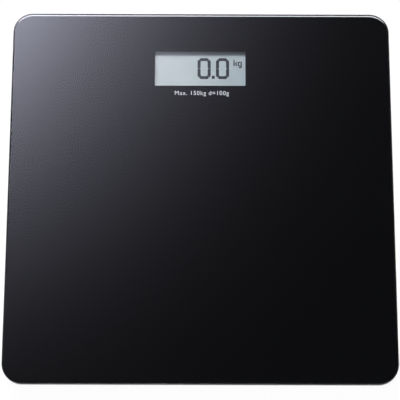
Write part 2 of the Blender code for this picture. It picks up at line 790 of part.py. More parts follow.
def tray_notches():
    """A slot in the wall and flange for each cable, turned to the way that the cable comes in."""
    notches = []
    for name, middle, entry in foot_places():
        away = (entry - middle).normalized()
        reach = wall_crossing(away)
        notch = block(
            "tray_notch_" + name,
            (-reach / 2 - CUT_OVERRUN, -NOTCH_WIDTH / 2, board_cable_height - CABLE_RADIUS),
            (reach / 2, NOTCH_WIDTH / 2, housing_top + CUT_OVERRUN),
        )
        notch.location.xy = (entry + away * reach / 2).xy
        notch.rotation_euler.z = math.atan2(away.y, away.x)
        notches.append(notch)
    return notches


def build_board():
    half = board_half_width
    tab_left = BUTTON_X - SWITCH_SIZE - 2 * BUTTON_FLANGE
    corner = TRAY_CORNER_RADIUS - TRAY_WALL
    outline = [
        (-half, board_front),
        (tab_left, board_front),
        (tab_left, tab_front),
        (half, tab_front),
        *arc((half - corner, board_rear - corner), corner, 0, 90),
        *arc((corner - half, board_rear - corner), corner, 90, 180),
    ]
    holes = [arc(place, SCREW_RADIUS + GAP, 0, 330, 11) for place in screw_places()]
    plate("circuit_board", [outline, *holes], board_bottom, board_top, "board_green")

    chip_top = board_bottom - GAP
    dome = [(CHIP_RADIUS * math.cos(a), chip_top - CHIP_HEIGHT * math.sin(a))
            for a in (math.radians(15 * i) for i in range(6))]
    turned("controller_chip", [(0, chip_top), *dome, (0, chip_top - CHIP_HEIGHT)], "chip_black",
           location=(0, window_y, 0), steps=COARSE_STEPS)
    for name, size, x, look in (("crystal", CRYSTAL_SIZE, 0.018, "contact_steel"),
                                ("capacitor", CAPACITOR_SIZE, -0.018, "lead_black")):
        centre = Vector((x, window_y, board_bottom - GAP - size.z / 2))
        block(name, centre - size / 2, centre + size / 2, look)

    head_bottom = board_top + GAP
    head_top = head_bottom + SCREW_HEAD_HEIGHT
    for i, (x, y) in enumerate(screw_places()):
        turned(
            f"board_screw_{i + 1}",
            [
                (0, head_top),
                *arc((SCREW_HEAD_RADIUS - 2 * GAP, head_top - 2 * GAP), 2 * GAP, 90, 0, 3),
                (SCREW_HEAD_RADIUS, head_bottom),
                (SCREW_RADIUS, head_bottom),
                (SCREW_RADIUS, board_top - SCREW_LENGTH + SCREW_RADIUS),
                (0, board_top - SCREW_LENGTH),
            ],
            "contact_steel",
            location=(x, y, 0),
            steps=16,
        )


def build_display():
    """The panel's two glasses, the rubber strip from its ledge to the board, the holder and the bezel."""
    half = lcd_half_width
    for name, front, bottom, top in (
        ("lcd_front_glass", ledge_front, front_glass_bottom, lcd_top),
        ("lcd_rear_glass", lcd_front, rear_glass_bottom, rear_glass_top),
    ):
        block(name, (-half, front, bottom), (half, lcd_rear, top), "lcd_glass")
    zebra_half = half - HOLDER_WALL
    block(
        "zebra_strip",
        (-zebra_half, zebra_y - ZEBRA_WIDTH / 2, zebra_bottom),
        (zebra_half, zebra_y + ZEBRA_WIDTH / 2, zebra_top),
        "zebra_rubber",
    )

    holder = block(
        "lcd_holder",
        (-holder_half_width, holder_front, board_top + GAP),
        (holder_half_width, holder_rear, lcd_top),
        "white_plastic",
    )
    panel_room = block(
        "panel_room",
        (-half - GAP, ledge_front - GAP, front_glass_bottom - GAP),
        (half + GAP, lcd_rear + GAP, lcd_top + CUT_OVERRUN),
    )
    rear_glass_room = block(
        "rear_glass_room",
        (-half - GAP, lcd_front - GAP, rear_glass_bottom - GAP),
        (half + GAP, lcd_rear + GAP, lcd_top + CUT_OVERRUN),
    )
    zebra_slot = block(
        "zebra_slot",
        (-zebra_half - GAP, zebra_y - ZEBRA_WIDTH / 2 - GAP, board_top - CUT_OVERRUN),
        (zebra_half + GAP, zebra_y + ZEBRA_WIDTH / 2 + GAP, lcd_top + CUT_OVERRUN),
    )
    cut(holder, panel_room, rear_glass_room, zebra_slot)

    outline = rounded_rectangle(
        2 * (holder_half_width + BEZEL_OVERHANG), holder_rear - holder_front, 0.002,
        (0, (holder_rear + holder_front) / 2), 3,
    )
    opening = rounded_rectangle(
        WINDOW_WIDTH + 2 * BEZEL_MARGIN, WINDOW_DEPTH + 2 * BEZEL_MARGIN, 0.001, (0, window_y), 2
    )
    plate("display_bezel", [outline, opening], lcd_top + GAP, housing_top, "black_plastic")


def build_unit_switch():
    switch_top = board_bottom - GAP
    switch_bottom = switch_top - SWITCH_HEIGHT
    half = SWITCH_SIZE / 2
    switch = block(
        "unit_switch",
        (BUTTON_X - half, button_y - half, switch_bottom),
        (BUTTON_X + half, button_y + half, switch_top),
        "chip_black",
    )
    bore_depth = SWITCH_HEIGHT - GAP / 2
    bore = rod(
        "plunger_bore", PLUNGER_RADIUS + GAP, 2 * bore_depth, (BUTTON_X, button_y, switch_bottom), steps=16
    )
    cut(switch, bore)

    flange_bottom = tray_inside + GAP
    flange_top = flange_bottom + BUTTON_FLANGE_THICKNESS
    plunger_bottom = flange_top + GAP
    plunger_top = switch_bottom + bore_depth - BUTTON_TRAVEL - GAP / 2
    rod("switch_plunger", PLUNGER_RADIUS, plunger_top - plunger_bottom,
        (BUTTON_X, button_y, (plunger_top + plunger_bottom) / 2), look="white_plastic", steps=16)

    face = tray_bottom + BUTTON_RECESS
    flange_radius = BUTTON_RADIUS + RUNNING_GAP + BUTTON_FLANGE
    turned(
        "unit_button",
        [
            (0, flange_top),
            (flange_radius, flange_top),
            (flange_radius, flange_bottom),
            (BUTTON_RADIUS, flange_bottom),
            *arc((BUTTON_RADIUS - GAP, face + GAP), GAP, 0, -90, 2),
            (0, face),
        ],
        "white_plastic",
        location=(BUTTON_X, button_y, 0),
        steps=COARSE_STEPS,
    )


# Battery


def negative_tail_offset():
    """How far the negative contact's tail stands from the middle of the coin cell."""
    return 0.6 * COIN_RADIUS


def build_battery():
    coin_bottom = tray_bottom + DOOR_THICKNESS + GAP
    coin_top = coin_bottom + COIN_THICKNESS
    cap_radius = COIN_RADIUS - COIN_CAP_INSET
    turned(
        "coin_cell",
        [
            (0, coin_top),
            (cap_radius, coin_top),
            (cap_radius, coin_top - GAP),
            (COIN_RADIUS - GAP, coin_top - GAP),
            (COIN_RADIUS, coin_top - 2 * GAP),
            *arc((COIN_RADIUS - GAP, coin_bottom + GAP), GAP, 0, -90, 2),
            (0, coin_bottom),
        ],
        "contact_steel",
        location=(BATTERY_X, coin_y, 0),
    )

    tail_top = pocket_ceiling + POCKET_CEILING + CONTACT_TAIL
    blade_height = coin_top + GAP + CONTACT_THICKNESS / 2
    tail = negative_tail_offset()
    strip(
        "battery_contact_negative",
        [(-0.5 * COIN_RADIUS, blade_height), (tail, blade_height), (tail, tail_top)],
        CONTACT_WIDTH,
        "contact_steel",
        (BATTERY_X, coin_y, 0),
    )
    positive = strip(
        "battery_contact_positive",
        [(0, coin_bottom + 2 * GAP), (0, tail_top)],
        CONTACT_WIDTH,
        "contact_steel",
        (BATTERY_X, coin_y + COIN_RADIUS + GAP + CONTACT_THICKNESS / 2, 0),
    )
    positive.rotation_euler.z = math.pi / 2

    board_end_x = BUTTON_X - SWITCH_SIZE - BUTTON_FLANGE
    board_height = board_top + GAP + LEAD_RADIUS
    lead_height = tail_top - LEAD_RADIUS
    negative_start = Vector((BATTERY_X + tail + CONTACT_THICKNESS / 2 + GAP, coin_y, lead_height))
    positive_y = coin_y + COIN_RADIUS + 2 * GAP
    positive_start = Vector((BATTERY_X + CONTACT_WIDTH / 2 + GAP, positive_y, lead_height))
    leads = {"negative": (negative_start, "lead_black"), "positive": (positive_start, "lead_red")}
    for name, (start, look) in leads.items():
        end = Vector((board_end_x, start.y, board_height))
        middle_low = start.lerp(end, 0.75)
        points = [start, start.lerp(end, 0.35) + Vector((0, 0, LEAD_RADIUS)), middle_low, end]
        wire("battery_lead_" + name, smooth_route(points, 6 * LEAD_RADIUS), LEAD_RADIUS, look)


def build_battery_door():
    """A snap-in door: two pins make its hinge, and a slit tab with a nib is its latch."""
    hinge = add_empty("battery_door_hinge", (BATTERY_X, hinge_y, hinge_z))
    half = pocket_half_width - RUNNING_GAP
    front = pocket_front + RUNNING_GAP - hinge_y
    bottom, top = tray_bottom - hinge_z, tray_bottom + DOOR_THICKNESS - hinge_z
    door = block("battery_door", (-half, front, bottom), (half, 0, top), "black_plastic", hinge)
    knuckle = rod("hinge_knuckle", HINGE_RADIUS, 2 * half, (0, 0, 0), axis="X", parent=hinge, steps=32)
    pin_span = 2 * (pocket_half_width + HINGE_PIN_LENGTH)
    pins = rod("hinge_pins", HINGE_PIN_RADIUS, pin_span, (0, 0, 0), axis="X", parent=hinge, steps=16)
    nib = block(
        "latch_nib",
        (-LATCH_WIDTH / 2, front - LATCH_NIB, bottom + 2 * GAP),
        (LATCH_WIDTH / 2, front + CUT_OVERRUN, top - 2 * GAP),
        parent=hinge,
    )
    join(door, knuckle, pins, nib)
    slits = [
        block(
            f"latch_slit_{side}",
            (side * LATCH_WIDTH / 2 + min(0, side) * LATCH_SLIT, front - CUT_OVERRUN, bottom - CUT_OVERRUN),
            (side * LATCH_WIDTH / 2 + max(0, side) * LATCH_SLIT, front + LATCH_LENGTH, top + CUT_OVERRUN),
            parent=hinge,
        )
        for side in (-1, 1)
    ]
    cut(door, *slits)


collections = start_collections()
looks = make_materials()
build_platform()
for foot_name, foot_middle, duct_entry in foot_places():
    foot_empty = build_foot(foot_name, foot_middle, duct_entry)
    build_duct(foot_name, foot_empty, foot_middle, duct_entry)
    build_sensor_cable(foot_name, foot_middle, duct_entry)
build_tape_frame()
build_housing_tray()
build_board()
build_display()
build_unit_switch()
build_battery()
build_battery_door()
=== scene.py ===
import bmesh
import bpy
import math
from mathutils import Matrix, Vector


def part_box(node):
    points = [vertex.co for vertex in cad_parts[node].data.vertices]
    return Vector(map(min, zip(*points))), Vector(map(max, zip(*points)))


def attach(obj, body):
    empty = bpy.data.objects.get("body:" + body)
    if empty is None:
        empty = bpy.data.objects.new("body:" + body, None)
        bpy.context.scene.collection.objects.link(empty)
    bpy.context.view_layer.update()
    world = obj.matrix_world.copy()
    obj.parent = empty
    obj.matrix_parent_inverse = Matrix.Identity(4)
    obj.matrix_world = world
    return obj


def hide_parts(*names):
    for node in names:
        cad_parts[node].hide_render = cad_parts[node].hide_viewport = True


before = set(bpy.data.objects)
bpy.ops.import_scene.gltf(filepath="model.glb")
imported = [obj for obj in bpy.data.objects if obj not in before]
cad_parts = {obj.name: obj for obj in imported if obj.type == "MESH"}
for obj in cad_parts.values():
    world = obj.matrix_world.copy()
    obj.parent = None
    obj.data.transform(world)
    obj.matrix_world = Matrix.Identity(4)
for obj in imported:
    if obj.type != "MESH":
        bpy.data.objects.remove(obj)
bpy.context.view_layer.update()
mm = 0.001
corners = ["front_left", "front_right", "rear_left", "rear_right"]
print("frame loaded,", len(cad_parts), "nodes")


# camera and light

cameraFacts = {
    "aim": (-0.00054, -0.00597, 0.022),
    "tilt": 16.68,  # degrees from straight down
    "roll": 0.16,
    "distance": 1.324,
    "lens": 153.7,
    "sensor": 36,
}


def addCamera():
    facts = cameraFacts
    data = bpy.data.cameras.new("camera")
    data.lens = facts["lens"]
    data.sensor_width = facts["sensor"]
    data.clip_start = 0.05
    data.clip_end = 50
    camera = bpy.data.objects.new("camera", data)
    bpy.context.scene.collection.objects.link(camera)
    turn = Matrix.Rotation(math.radians(facts["tilt"]), 4, "X")
    turn = turn @ Matrix.Rotation(math.radians(facts["roll"]), 4, "Z")
    back = turn @ Vector((0, 0, facts["distance"]))
    camera.matrix_world = Matrix.Translation(Vector(facts["aim"]) + back) @ turn
    bpy.context.scene.camera = camera


def put(tree, kind, inputs=None, **settings):
    made = tree.nodes.new(kind)
    for key, value in settings.items():
        setattr(made, key, value)
    for key, value in (inputs or {}).items():
        if isinstance(value, bpy.types.NodeSocket):
            tree.links.new(value, made.inputs[key])
        else:
            made.inputs[key].default_value = value
    return made


def calc(tree, operation, first, second=0.0, clamp=False):
    made = put(tree, "ShaderNodeMath", {0: first, 1: second}, operation=operation)
    made.use_clamp = clamp
    return made.outputs[0]


def remap(tree, value, low, high, toLow, toHigh, smooth=False):
    made = put(tree, "ShaderNodeMapRange", {
        "Value": value, "From Min": low, "From Max": high, "To Min": toLow, "To Max": toHigh,
    })
    made.interpolation_type = "SMOOTHSTEP" if smooth else "LINEAR"
    return made.outputs[0]


def mixTones(tree, factor, first, second, blend="MIX"):
    made = put(tree, "ShaderNodeMix", {0: factor, 6: first, 7: second}, data_type="RGBA")
    made.blend_type = blend
    return made.outputs[2]


def times(tree, first, second):
    return calc(tree, "MULTIPLY", first, second)


def vector(tree, x=0.0, y=0.0, z=0.0):
    return put(tree, "ShaderNodeCombineXYZ", {0: x, 1: y, 2: z}).outputs[0]


def speckle(tree, place, scale, detail=3.0):
    made = put(tree, "ShaderNodeTexNoise", {"Vector": place, "Scale": scale, "Detail": detail})
    return made.outputs["Fac"]


def tone(red, green, blue):
    def linear(value):
        value /= 255
        return value / 12.92 if value <= 0.04045 else ((value + 0.055) / 1.055) ** 2.4

    return (linear(red), linear(green), linear(blue), 1)


studio = {
    "glowCentre": (-0.241, 0.536),  # sideways over upward, so 0 is straight up
    "glowSize": (0.149, 0.165),
    "glowPeak": 25.5,
    "glowTint": (0.935, 0.94, 1.16, 1),
    "zenith": 0.03,
    "horizonDark": 0.25,
    "horizonPale": 0.6,
    "below": 1.0,
    "sideRamp": (-0.5, 0.8),  # from the dark to the pale side of the horizon
    "upRamp": (0.45, 0.8),  # from the horizon's level to the zenith's
    "downRamp": (-0.15, 0.0),
    "flattest": 0.05,  # lowest height at which a glow is seen
    "lowGlowCentre": (0.55, -0.5),
    "lowGlowSize": (0.35, 0.35),
    "lowGlowPeak": 9.0,
    "backdrop": (1, 1, 1, 1),
    "lampDistance": 2.0,
    "lamps": {  # way to the lamp, disc size, power, whether gloss shows it
        "keyLight": ((-0.05, 0.9, 1), 0.42, 28.0, False),
        "fillLight": ((0, 0, 1), 2.0, 9.0, False),
        "lowLight": ((-0.75, -0.9, -1), 0.9, 30.0, True),
    },
    "floorReach": 12,
    "floorDrop": 0.3 * mm,
    "floorWhite": 1.035,
    "floorShare": 0.93,  # how much of what the camera sees of the floor is plain white
}


def addStudio():
    world = bpy.data.worlds.new("studio")
    bpy.context.scene.world = world
    world.use_nodes = True
    tree = world.node_tree
    tree.nodes.clear()
    way = put(tree, "ShaderNodeTexCoord").outputs["Generated"]
    parts = put(tree, "ShaderNodeSeparateXYZ", {0: way}).outputs

    def softGlow(height, centre, size, peak):
        # a round soft light, brightest where the sideways slopes equal centre
        peak = times(tree, calc(tree, "GREATER_THAN", height, studio["flattest"]), peak)
        height = calc(tree, "MAXIMUM", height, studio["flattest"])
        squares = []
        for axis in (0, 1):
            slope = calc(tree, "DIVIDE", parts[axis], height)
            off = calc(tree, "DIVIDE", calc(tree, "SUBTRACT", slope, centre[axis]), size[axis])
            squares.append(times(tree, off, off))
        spread = times(tree, calc(tree, "ADD", squares[0], squares[1]), -1.0)
        return times(tree, calc(tree, "EXPONENT", spread), peak)

    glow = softGlow(parts[2], studio["glowCentre"], studio["glowSize"], studio["glowPeak"])
    down = times(tree, parts[2], -1.0)
    lowGlow = softGlow(down, studio["lowGlowCentre"], studio["lowGlowSize"], studio["lowGlowPeak"])
    # pale all round, paler behind and to the left, dark overhead
    side = calc(tree, "ADD", times(tree, parts[1], 0.8), times(tree, parts[0], -0.6))
    pale = remap(tree, side, *studio["sideRamp"], studio["horizonDark"], studio["horizonPale"], True)
    ring = remap(tree, parts[2], *studio["upRamp"], pale, studio["zenith"], True)
    whole = remap(tree, parts[2], *studio["downRamp"], studio["below"], ring, True)
    whole = calc(tree, "ADD", whole, lowGlow)
    level = put(tree, "ShaderNodeBackground", {"Color": (1, 1, 1, 1), "Strength": whole})
    lamp = put(tree, "ShaderNodeBackground", {"Color": studio["glowTint"], "Strength": glow})
    both = put(tree, "ShaderNodeAddShader", {0: level.outputs[0], 1: lamp.outputs[0]})
    plain = put(tree, "ShaderNodeBackground", {"Color": studio["backdrop"], "Strength": 1.0})
    seen = put(tree, "ShaderNodeLightPath").outputs["Is Camera Ray"]
    shown = put(tree, "ShaderNodeMixShader", {0: seen, 1: both.outputs[0], 2: plain.outputs[0]})
    put(tree, "ShaderNodeOutputWorld", {0: shown.outputs[0]})

    for name, (way, size, power, inGloss) in studio["lamps"].items():
        data = bpy.data.lights.new(name, "AREA")
        data.shape = "DISK"
        data.size = size
        data.energy = power
        lamp = bpy.data.objects.new(name, data)
        bpy.context.scene.collection.objects.link(lamp)
        way = Vector(way).normalized()
        lamp.location = way * studio["lampDistance"]
        lamp.rotation_euler = way.to_track_quat("Z", "Y").to_euler()
        lamp.visible_glossy = inGloss
        lamp.visible_camera = False
        lamp.visible_transmission = False


def addFloor():
    mesh = bpy.data.meshes.new("floorSheet")
    reach, height = studio["floorReach"], -studio["floorDrop"]
    outline = [(-reach, -reach), (reach, -reach), (reach, reach), (-reach, reach)]
    mesh.from_pydata([(x, y, height) for x, y in outline], [], [(0, 1, 2, 3)])
    floor = bpy.data.objects.new("floorSheet", mesh)
    bpy.context.scene.collection.objects.link(floor)
    made = bpy.data.materials.new("palePaper")
    made.use_nodes = True
    tree = made.node_tree
    shader = tree.nodes["Principled BSDF"]
    place = put(tree, "ShaderNodeTexCoord").outputs["Object"]
    paper = mixTones(tree, speckle(tree, place, 900.0), (0.8, 0.8, 0.8, 1), (0.86, 0.86, 0.86, 1))
    tree.links.new(paper, shader.inputs["Base Color"])
    shader.inputs["Roughness"].default_value = 0.9
    shader.inputs["Specular IOR Level"].default_value = 0.1
    bright = put(tree, "ShaderNodeEmission", {
        "Color": studio["backdrop"], "Strength": studio["floorWhite"],
    })
    seen = put(tree, "ShaderNodeLightPath").outputs["Is Camera Ray"]
    share = times(tree, seen, studio["floorShare"])
    front = put(tree, "ShaderNodeMixShader", {0: share, 1: shader.outputs[0], 2: bright.outputs[0]})
    away = put(tree, "ShaderNodeNewGeometry").outputs["Backfacing"]
    hole = put(tree, "ShaderNodeBsdfTransparent")
    sheet = put(tree, "ShaderNodeMixShader", {0: away, 1: front.outputs[0], 2: hole.outputs[0]})
    tree.links.new(sheet.outputs[0], tree.nodes["Material Output"].inputs["Surface"])
    mesh.materials.append(made)
    floor.visible_diffuse = False
    floor.visible_shadow = False


addCamera()
addStudio()
addFloor()
bpy.context.scene.view_settings.view_transform = "Standard"
print("camera, light and floor placed")


# materials

def startMaterial(name):
    made = bpy.data.materials.new(name)
    made.use_nodes = True
    tree = made.node_tree
    place = put(tree, "ShaderNodeTexCoord").outputs["Object"]
    return made, tree, tree.nodes["Principled BSDF"], place


def surface(tree, shader, tint, gloss):
    # each is a socket or a plain value
    for label, value in (("Base Color", tint), ("Roughness", gloss)):
        if isinstance(value, bpy.types.NodeSocket):
            tree.links.new(value, shader.inputs[label])
        else:
            shader.inputs[label].default_value = value


def pits(tree, place, scale):
    return put(tree, "ShaderNodeTexVoronoi", {"Vector": place, "Scale": scale}).outputs["Distance"]


def bump(tree, shader, height, distance, strength=1.0):
    made = put(tree, "ShaderNodeBump", {"Height": height, "Distance": distance, "Strength": strength})
    tree.links.new(made.outputs["Normal"], shader.inputs["Normal"])


def mouldedPlastic(name, dark, light, gloss=0.42, grain=0.45 * mm, relief=0.018 * mm):
    # spark-eroded mould finish: tiny pits, a slow change of tone, uneven gloss
    made, tree, shader, place = startMaterial(name)
    broad = speckle(tree, place, 45.0, 4.0)
    fine = pits(tree, place, 1 / grain)
    soft = speckle(tree, place, 0.6 / grain, 2.0)
    level = remap(tree, broad, 0.3, 0.7, gloss - 0.05, gloss + 0.07)
    surface(tree, shader, mixTones(tree, broad, dark, light), level)
    bump(tree, shader, calc(tree, "ADD", fine, soft), relief)
    return made


def softRubber(name, dark, light):
    made, tree, shader, place = startMaterial(name)
    broad = speckle(tree, place, 120.0, 5.0)
    dust = remap(tree, speckle(tree, place, 2200.0, 2.0), 0.62, 0.75, 0.0, 0.35)
    body = mixTones(tree, broad, dark, light)
    body = mixTones(tree, dust, body, tone(150, 150, 148))
    surface(tree, shader, body, remap(tree, broad, 0.3, 0.7, 0.7, 0.9))
    bump(tree, shader, speckle(tree, place, 2600.0, 3.0), 0.02 * mm)
    shader.inputs["Sheen Weight"].default_value = 0.15
    return made


def metal(name, dark, light, gloss=0.25, strokes=(1.0, 60.0, 60.0)):
    # fine marks run along one direction
    made, tree, shader, place = startMaterial(name)
    stretched = put(tree, "ShaderNodeMapping", {"Vector": place, "Scale": strokes}).outputs[0]
    lines = speckle(tree, stretched, 160.0, 5.0)
    broad = speckle(tree, place, 90.0, 3.0)
    streaks = remap(tree, lines, 0.3, 0.7, gloss - 0.08, gloss + 0.08)
    clouds = remap(tree, broad, 0.3, 0.7, 0.0, 0.06)
    surface(tree, shader, mixTones(tree, lines, dark, light), calc(tree, "ADD", streaks, clouds))
    shader.inputs["Metallic"].default_value = 1.0
    bump(tree, shader, lines, 0.006 * mm)
    return made


def clearGlass(name):
    made, tree, shader, place = startMaterial(name)
    cloud = speckle(tree, place, 8.0, 2.0)
    tint = mixTones(tree, cloud, (0.93, 0.965, 0.95, 1), (0.95, 0.975, 0.965, 1))
    surface(tree, shader, tint, 0.0)
    shader.inputs["IOR"].default_value = 1.5
    shader.inputs["Transmission Weight"].default_value = 1.0
    lamps = put(tree, "ShaderNodeLightPath").outputs["Is Shadow Ray"]
    through = put(tree, "ShaderNodeBsdfTransparent", {"Color": (0.9, 0.93, 0.92, 1)})
    sheet = put(tree, "ShaderNodeMixShader", {0: lamps, 1: shader.outputs[0], 2: through.outputs[0]})
    tree.links.new(sheet.outputs[0], tree.nodes["Material Output"].inputs["Surface"])
    return made


def printInk(name, dark, light, specular, gloss=0.4, relief=0.004 * mm):
    made, tree, shader, place = startMaterial(name)
    broad = speckle(tree, place, 60.0, 3.0)
    level = remap(tree, broad, 0.3, 0.7, gloss - 0.05, gloss + 0.05)
    surface(tree, shader, mixTones(tree, broad, dark, light), level)
    shader.inputs["Specular IOR Level"].default_value = specular
    if relief:
        bump(tree, shader, speckle(tree, place, 3000.0, 2.0), relief)
    return made


def foam(name, dark, light):
    made, tree, shader, place = startMaterial(name)
    cells = pits(tree, place, 2800.0)
    share = remap(tree, cells, 0.1, 0.6, 0.0, 1.0)
    surface(tree, shader, mixTones(tree, share, light, dark), 0.95)
    bump(tree, shader, cells, 0.12 * mm)
    return made


def displayGlass(name):
    # reflective panel: pale and cool, with a teal cast to the right
    made, tree, shader, place = startMaterial(name)
    across = put(tree, "ShaderNodeSeparateXYZ", {0: place}).outputs
    shift = remap(tree, across[0], -36 * mm, 36 * mm, 0.0, 1.0, True)
    cloud = speckle(tree, place, 110.0, 3.0)
    pale = mixTones(tree, cloud, tone(186, 187, 186), tone(194, 195, 194))
    cool = mixTones(tree, cloud, tone(160, 167, 169), tone(170, 177, 178))
    grains = speckle(tree, place, 5200.0, 2.0)
    level = remap(tree, grains, 0.3, 0.7, 0.42, 0.55)
    surface(tree, shader, mixTones(tree, shift, pale, cool), level)
    shader.inputs["Specular IOR Level"].default_value = 0.3
    bump(tree, shader, grains, 0.003 * mm)
    return made


def circuitGreen(name):
    made, tree, shader, place = startMaterial(name)
    lanes = put(tree, "ShaderNodeTexBrick", {
        "Vector": place, "Color1": (0, 0, 0, 1), "Color2": (0, 0, 0, 1), "Mortar": (1, 1, 1, 1),
        "Scale": 320.0, "Mortar Size": 0.035, "Brick Width": 2.4, "Row Height": 0.45,
    }).outputs["Fac"]
    cloud = speckle(tree, place, 150.0, 3.0)
    mask = mixTones(tree, cloud, tone(18, 66, 40), tone(26, 84, 52))
    surface(tree, shader, mixTones(tree, lanes, mask, tone(52, 120, 70)), 0.32)
    bump(tree, shader, lanes, 0.03 * mm)
    return made


def cableJacket(name, dark, light):
    made, tree, shader, place = startMaterial(name)
    rub = speckle(tree, place, 700.0, 3.0)
    level = remap(tree, rub, 0.3, 0.7, 0.38, 0.55)
    surface(tree, shader, mixTones(tree, rub, dark, light), level)
    bump(tree, shader, speckle(tree, place, 1800.0, 2.0), 0.015 * mm)
    return made


finishes = {
    "glass": clearGlass("clearGlass"),
    "inkFace": printInk(
        "blackInkFace", (0.0026, 0.0026, 0.003, 1), (0.0032, 0.0032, 0.0037, 1), 0.0, relief=0,
    ),
    "inkBack": printInk("blackInkBack", tone(24, 24, 26), tone(30, 30, 32), 0.5),
    "inkWhite": printInk("whiteInk", tone(226, 228, 232), tone(238, 240, 243), 0.0),
    "foam": foam("blackFoam", tone(20, 20, 21), tone(46, 46, 48)),
    "blackPlastic": mouldedPlastic("blackPlastic", tone(26, 26, 28), tone(34, 34, 36)),
    "whitePlastic": mouldedPlastic("whitePlastic", tone(214, 214, 210), tone(226, 226, 223), 0.38),
    "rubber": softRubber("greyRubber", tone(66, 67, 69), tone(82, 83, 85)),
    "cellSteel": metal("cellSteel", tone(150, 150, 152), tone(196, 196, 198), 0.34),
    "contactSteel": metal("contactSteel", tone(188, 186, 178), tone(222, 220, 212), 0.2),
    "gauge": mouldedPlastic(
        "gaugeSealant", tone(196, 190, 176), tone(212, 206, 194), 0.3, 1.2 * mm, 0.08 * mm,
    ),
    "panel": displayGlass("panelFace"),
    "segments": printInk("panelSegments", tone(5, 8, 11), tone(8, 12, 15), 0.1, 0.45),
    "board": circuitGreen("boardGreen"),
    "chip": mouldedPlastic("chipResin", tone(16, 16, 17), tone(26, 26, 27), 0.3, 1.5 * mm, 0.06 * mm),
    "zebra": softRubber("zebraRubber", tone(40, 40, 42), tone(58, 58, 60)),
    "jacket": cableJacket("greyJacket", tone(96, 98, 101), tone(112, 114, 117)),
    "lead": cableJacket("redJacket", tone(150, 22, 20), tone(172, 34, 30)),
}
print("materials made,", len(finishes))


# shared ways to make a piece

def newPiece(name, mesh):
    made = bpy.data.objects.new(name, mesh)
    bpy.context.scene.collection.objects.link(made)
    return made


def settle(piece, body, slot, *nodes):
    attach(piece, body)
    if nodes:
        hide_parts(*nodes)
    return piece


def dress(mesh, look):
    mesh.materials.clear()
    mesh.materials.append(finishes[look])


def meshFrom(name, shape):
    mesh = bpy.data.meshes.new(name)
    shape.to_mesh(mesh)
    shape.free()
    return mesh


def shadeByAngle(mesh, angle=35):
    shape = bmesh.new()
    shape.from_mesh(mesh)
    for face in shape.faces:
        face.smooth = True
    for edge in shape.edges:
        if len(edge.link_faces) == 2:
            edge.smooth = edge.calc_face_angle(0) < math.radians(angle)
    shape.to_mesh(mesh)
    shape.free()


def mergedCopy(name, node):
    # a clean mesh from a CAD node: doubles merged, flat areas made one face
    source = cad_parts[node].data
    shape = bmesh.new()
    points = [shape.verts.new(vertex.co) for vertex in source.vertices]
    for polygon in source.polygons:
        shape.faces.new([points[index] for index in polygon.vertices])
    bmesh.ops.remove_doubles(shape, verts=shape.verts, dist=0.002 * mm)
    bmesh.ops.dissolve_limit(shape, angle_limit=math.radians(0.4), verts=shape.verts, edges=shape.edges)
    return meshFrom(name, shape)


def addBevel(piece, width, segments=2, angle=40):
    bevel = piece.modifiers.new("softEdges", "BEVEL")
    bevel.width = width
    bevel.segments = segments
    bevel.limit_method = "ANGLE"
    bevel.angle_limit = math.radians(angle)
    bevel.harden_normals = True
    bevel.use_clamp_overlap = True
    return bevel


def softened(outline, radius, steps=3, closed=True):
    # every corner becomes a small arc, with a support point on both sides
    made = []
    count = len(outline)
    for index, point in enumerate(outline):
        corner = Vector(point)
        ends = not closed and index in (0, count - 1)
        if corner.x < 1e-7 or ends:
            made.append(corner)
            continue
        before = Vector(outline[index - 1]) - corner
        after = Vector(outline[(index + 1) % count]) - corner
        if before.angle(after) > math.radians(172):
            made.append(corner)
            continue
        reach = min(radius, 0.4 * before.length, 0.4 * after.length)
        before.normalize()
        after.normalize()
        first, last = corner + before * reach, corner + after * reach
        made.append(corner + before * reach * 1.2)
        for step in range(steps + 1):
            along = step / steps
            made.append(first * (1 - along) ** 2 + corner * 2 * along * (1 - along) + last * along ** 2)
        made.append(corner + after * reach * 1.2)
    return made


def turned(name, outline, centre, steps=112, closed=False):
    # outline of (radius, height) turned round an upright axis; closed joins its last point to its first
    shape = bmesh.new()
    rings = []
    for radius, height in outline:
        if radius < 1e-7:
            rings.append([shape.verts.new((centre[0], centre[1], height))])
            continue
        ring = []
        for step in range(steps):
            turn = 2 * math.pi * step / steps
            x = centre[0] + radius * math.cos(turn)
            y = centre[1] + radius * math.sin(turn)
            ring.append(shape.verts.new((x, y, height)))
        rings.append(ring)
    pairs = list(zip(rings, rings[1:]))
    if closed:
        pairs.append((rings[-1], rings[0]))
    for lower, upper in pairs:
        for step in range(steps):
            after = (step + 1) % steps
            if len(lower) == 1 and len(upper) == 1:
                break
            if len(lower) == 1:
                shape.faces.new((lower[0], upper[step], upper[after]))
            elif len(upper) == 1:
                shape.faces.new((lower[step], lower[after], upper[0]))
            else:
                shape.faces.new((lower[step], lower[after], upper[after], upper[step]))
    bmesh.ops.recalc_face_normals(shape, faces=shape.faces)
    return meshFrom(name, shape)


def bake(piece):
    # what the modifiers make becomes the piece's own mesh
    bpy.context.view_layer.update()
    graph = bpy.context.evaluated_depsgraph_get()
    mesh = bpy.data.meshes.new_from_object(piece.evaluated_get(graph))
    mesh.name = piece.name
    piece.modifiers.clear()
    piece.data = mesh
    return piece


def carve(piece, *cutters):
    for cutter in cutters:
        cut = piece.modifiers.new("cut", "BOOLEAN")
        cut.object = cutter
        cut.operation = "DIFFERENCE"
        cut.solver = "EXACT"
    bake(piece)
    for cutter in cutters:
        bpy.data.objects.remove(cutter)
    return piece


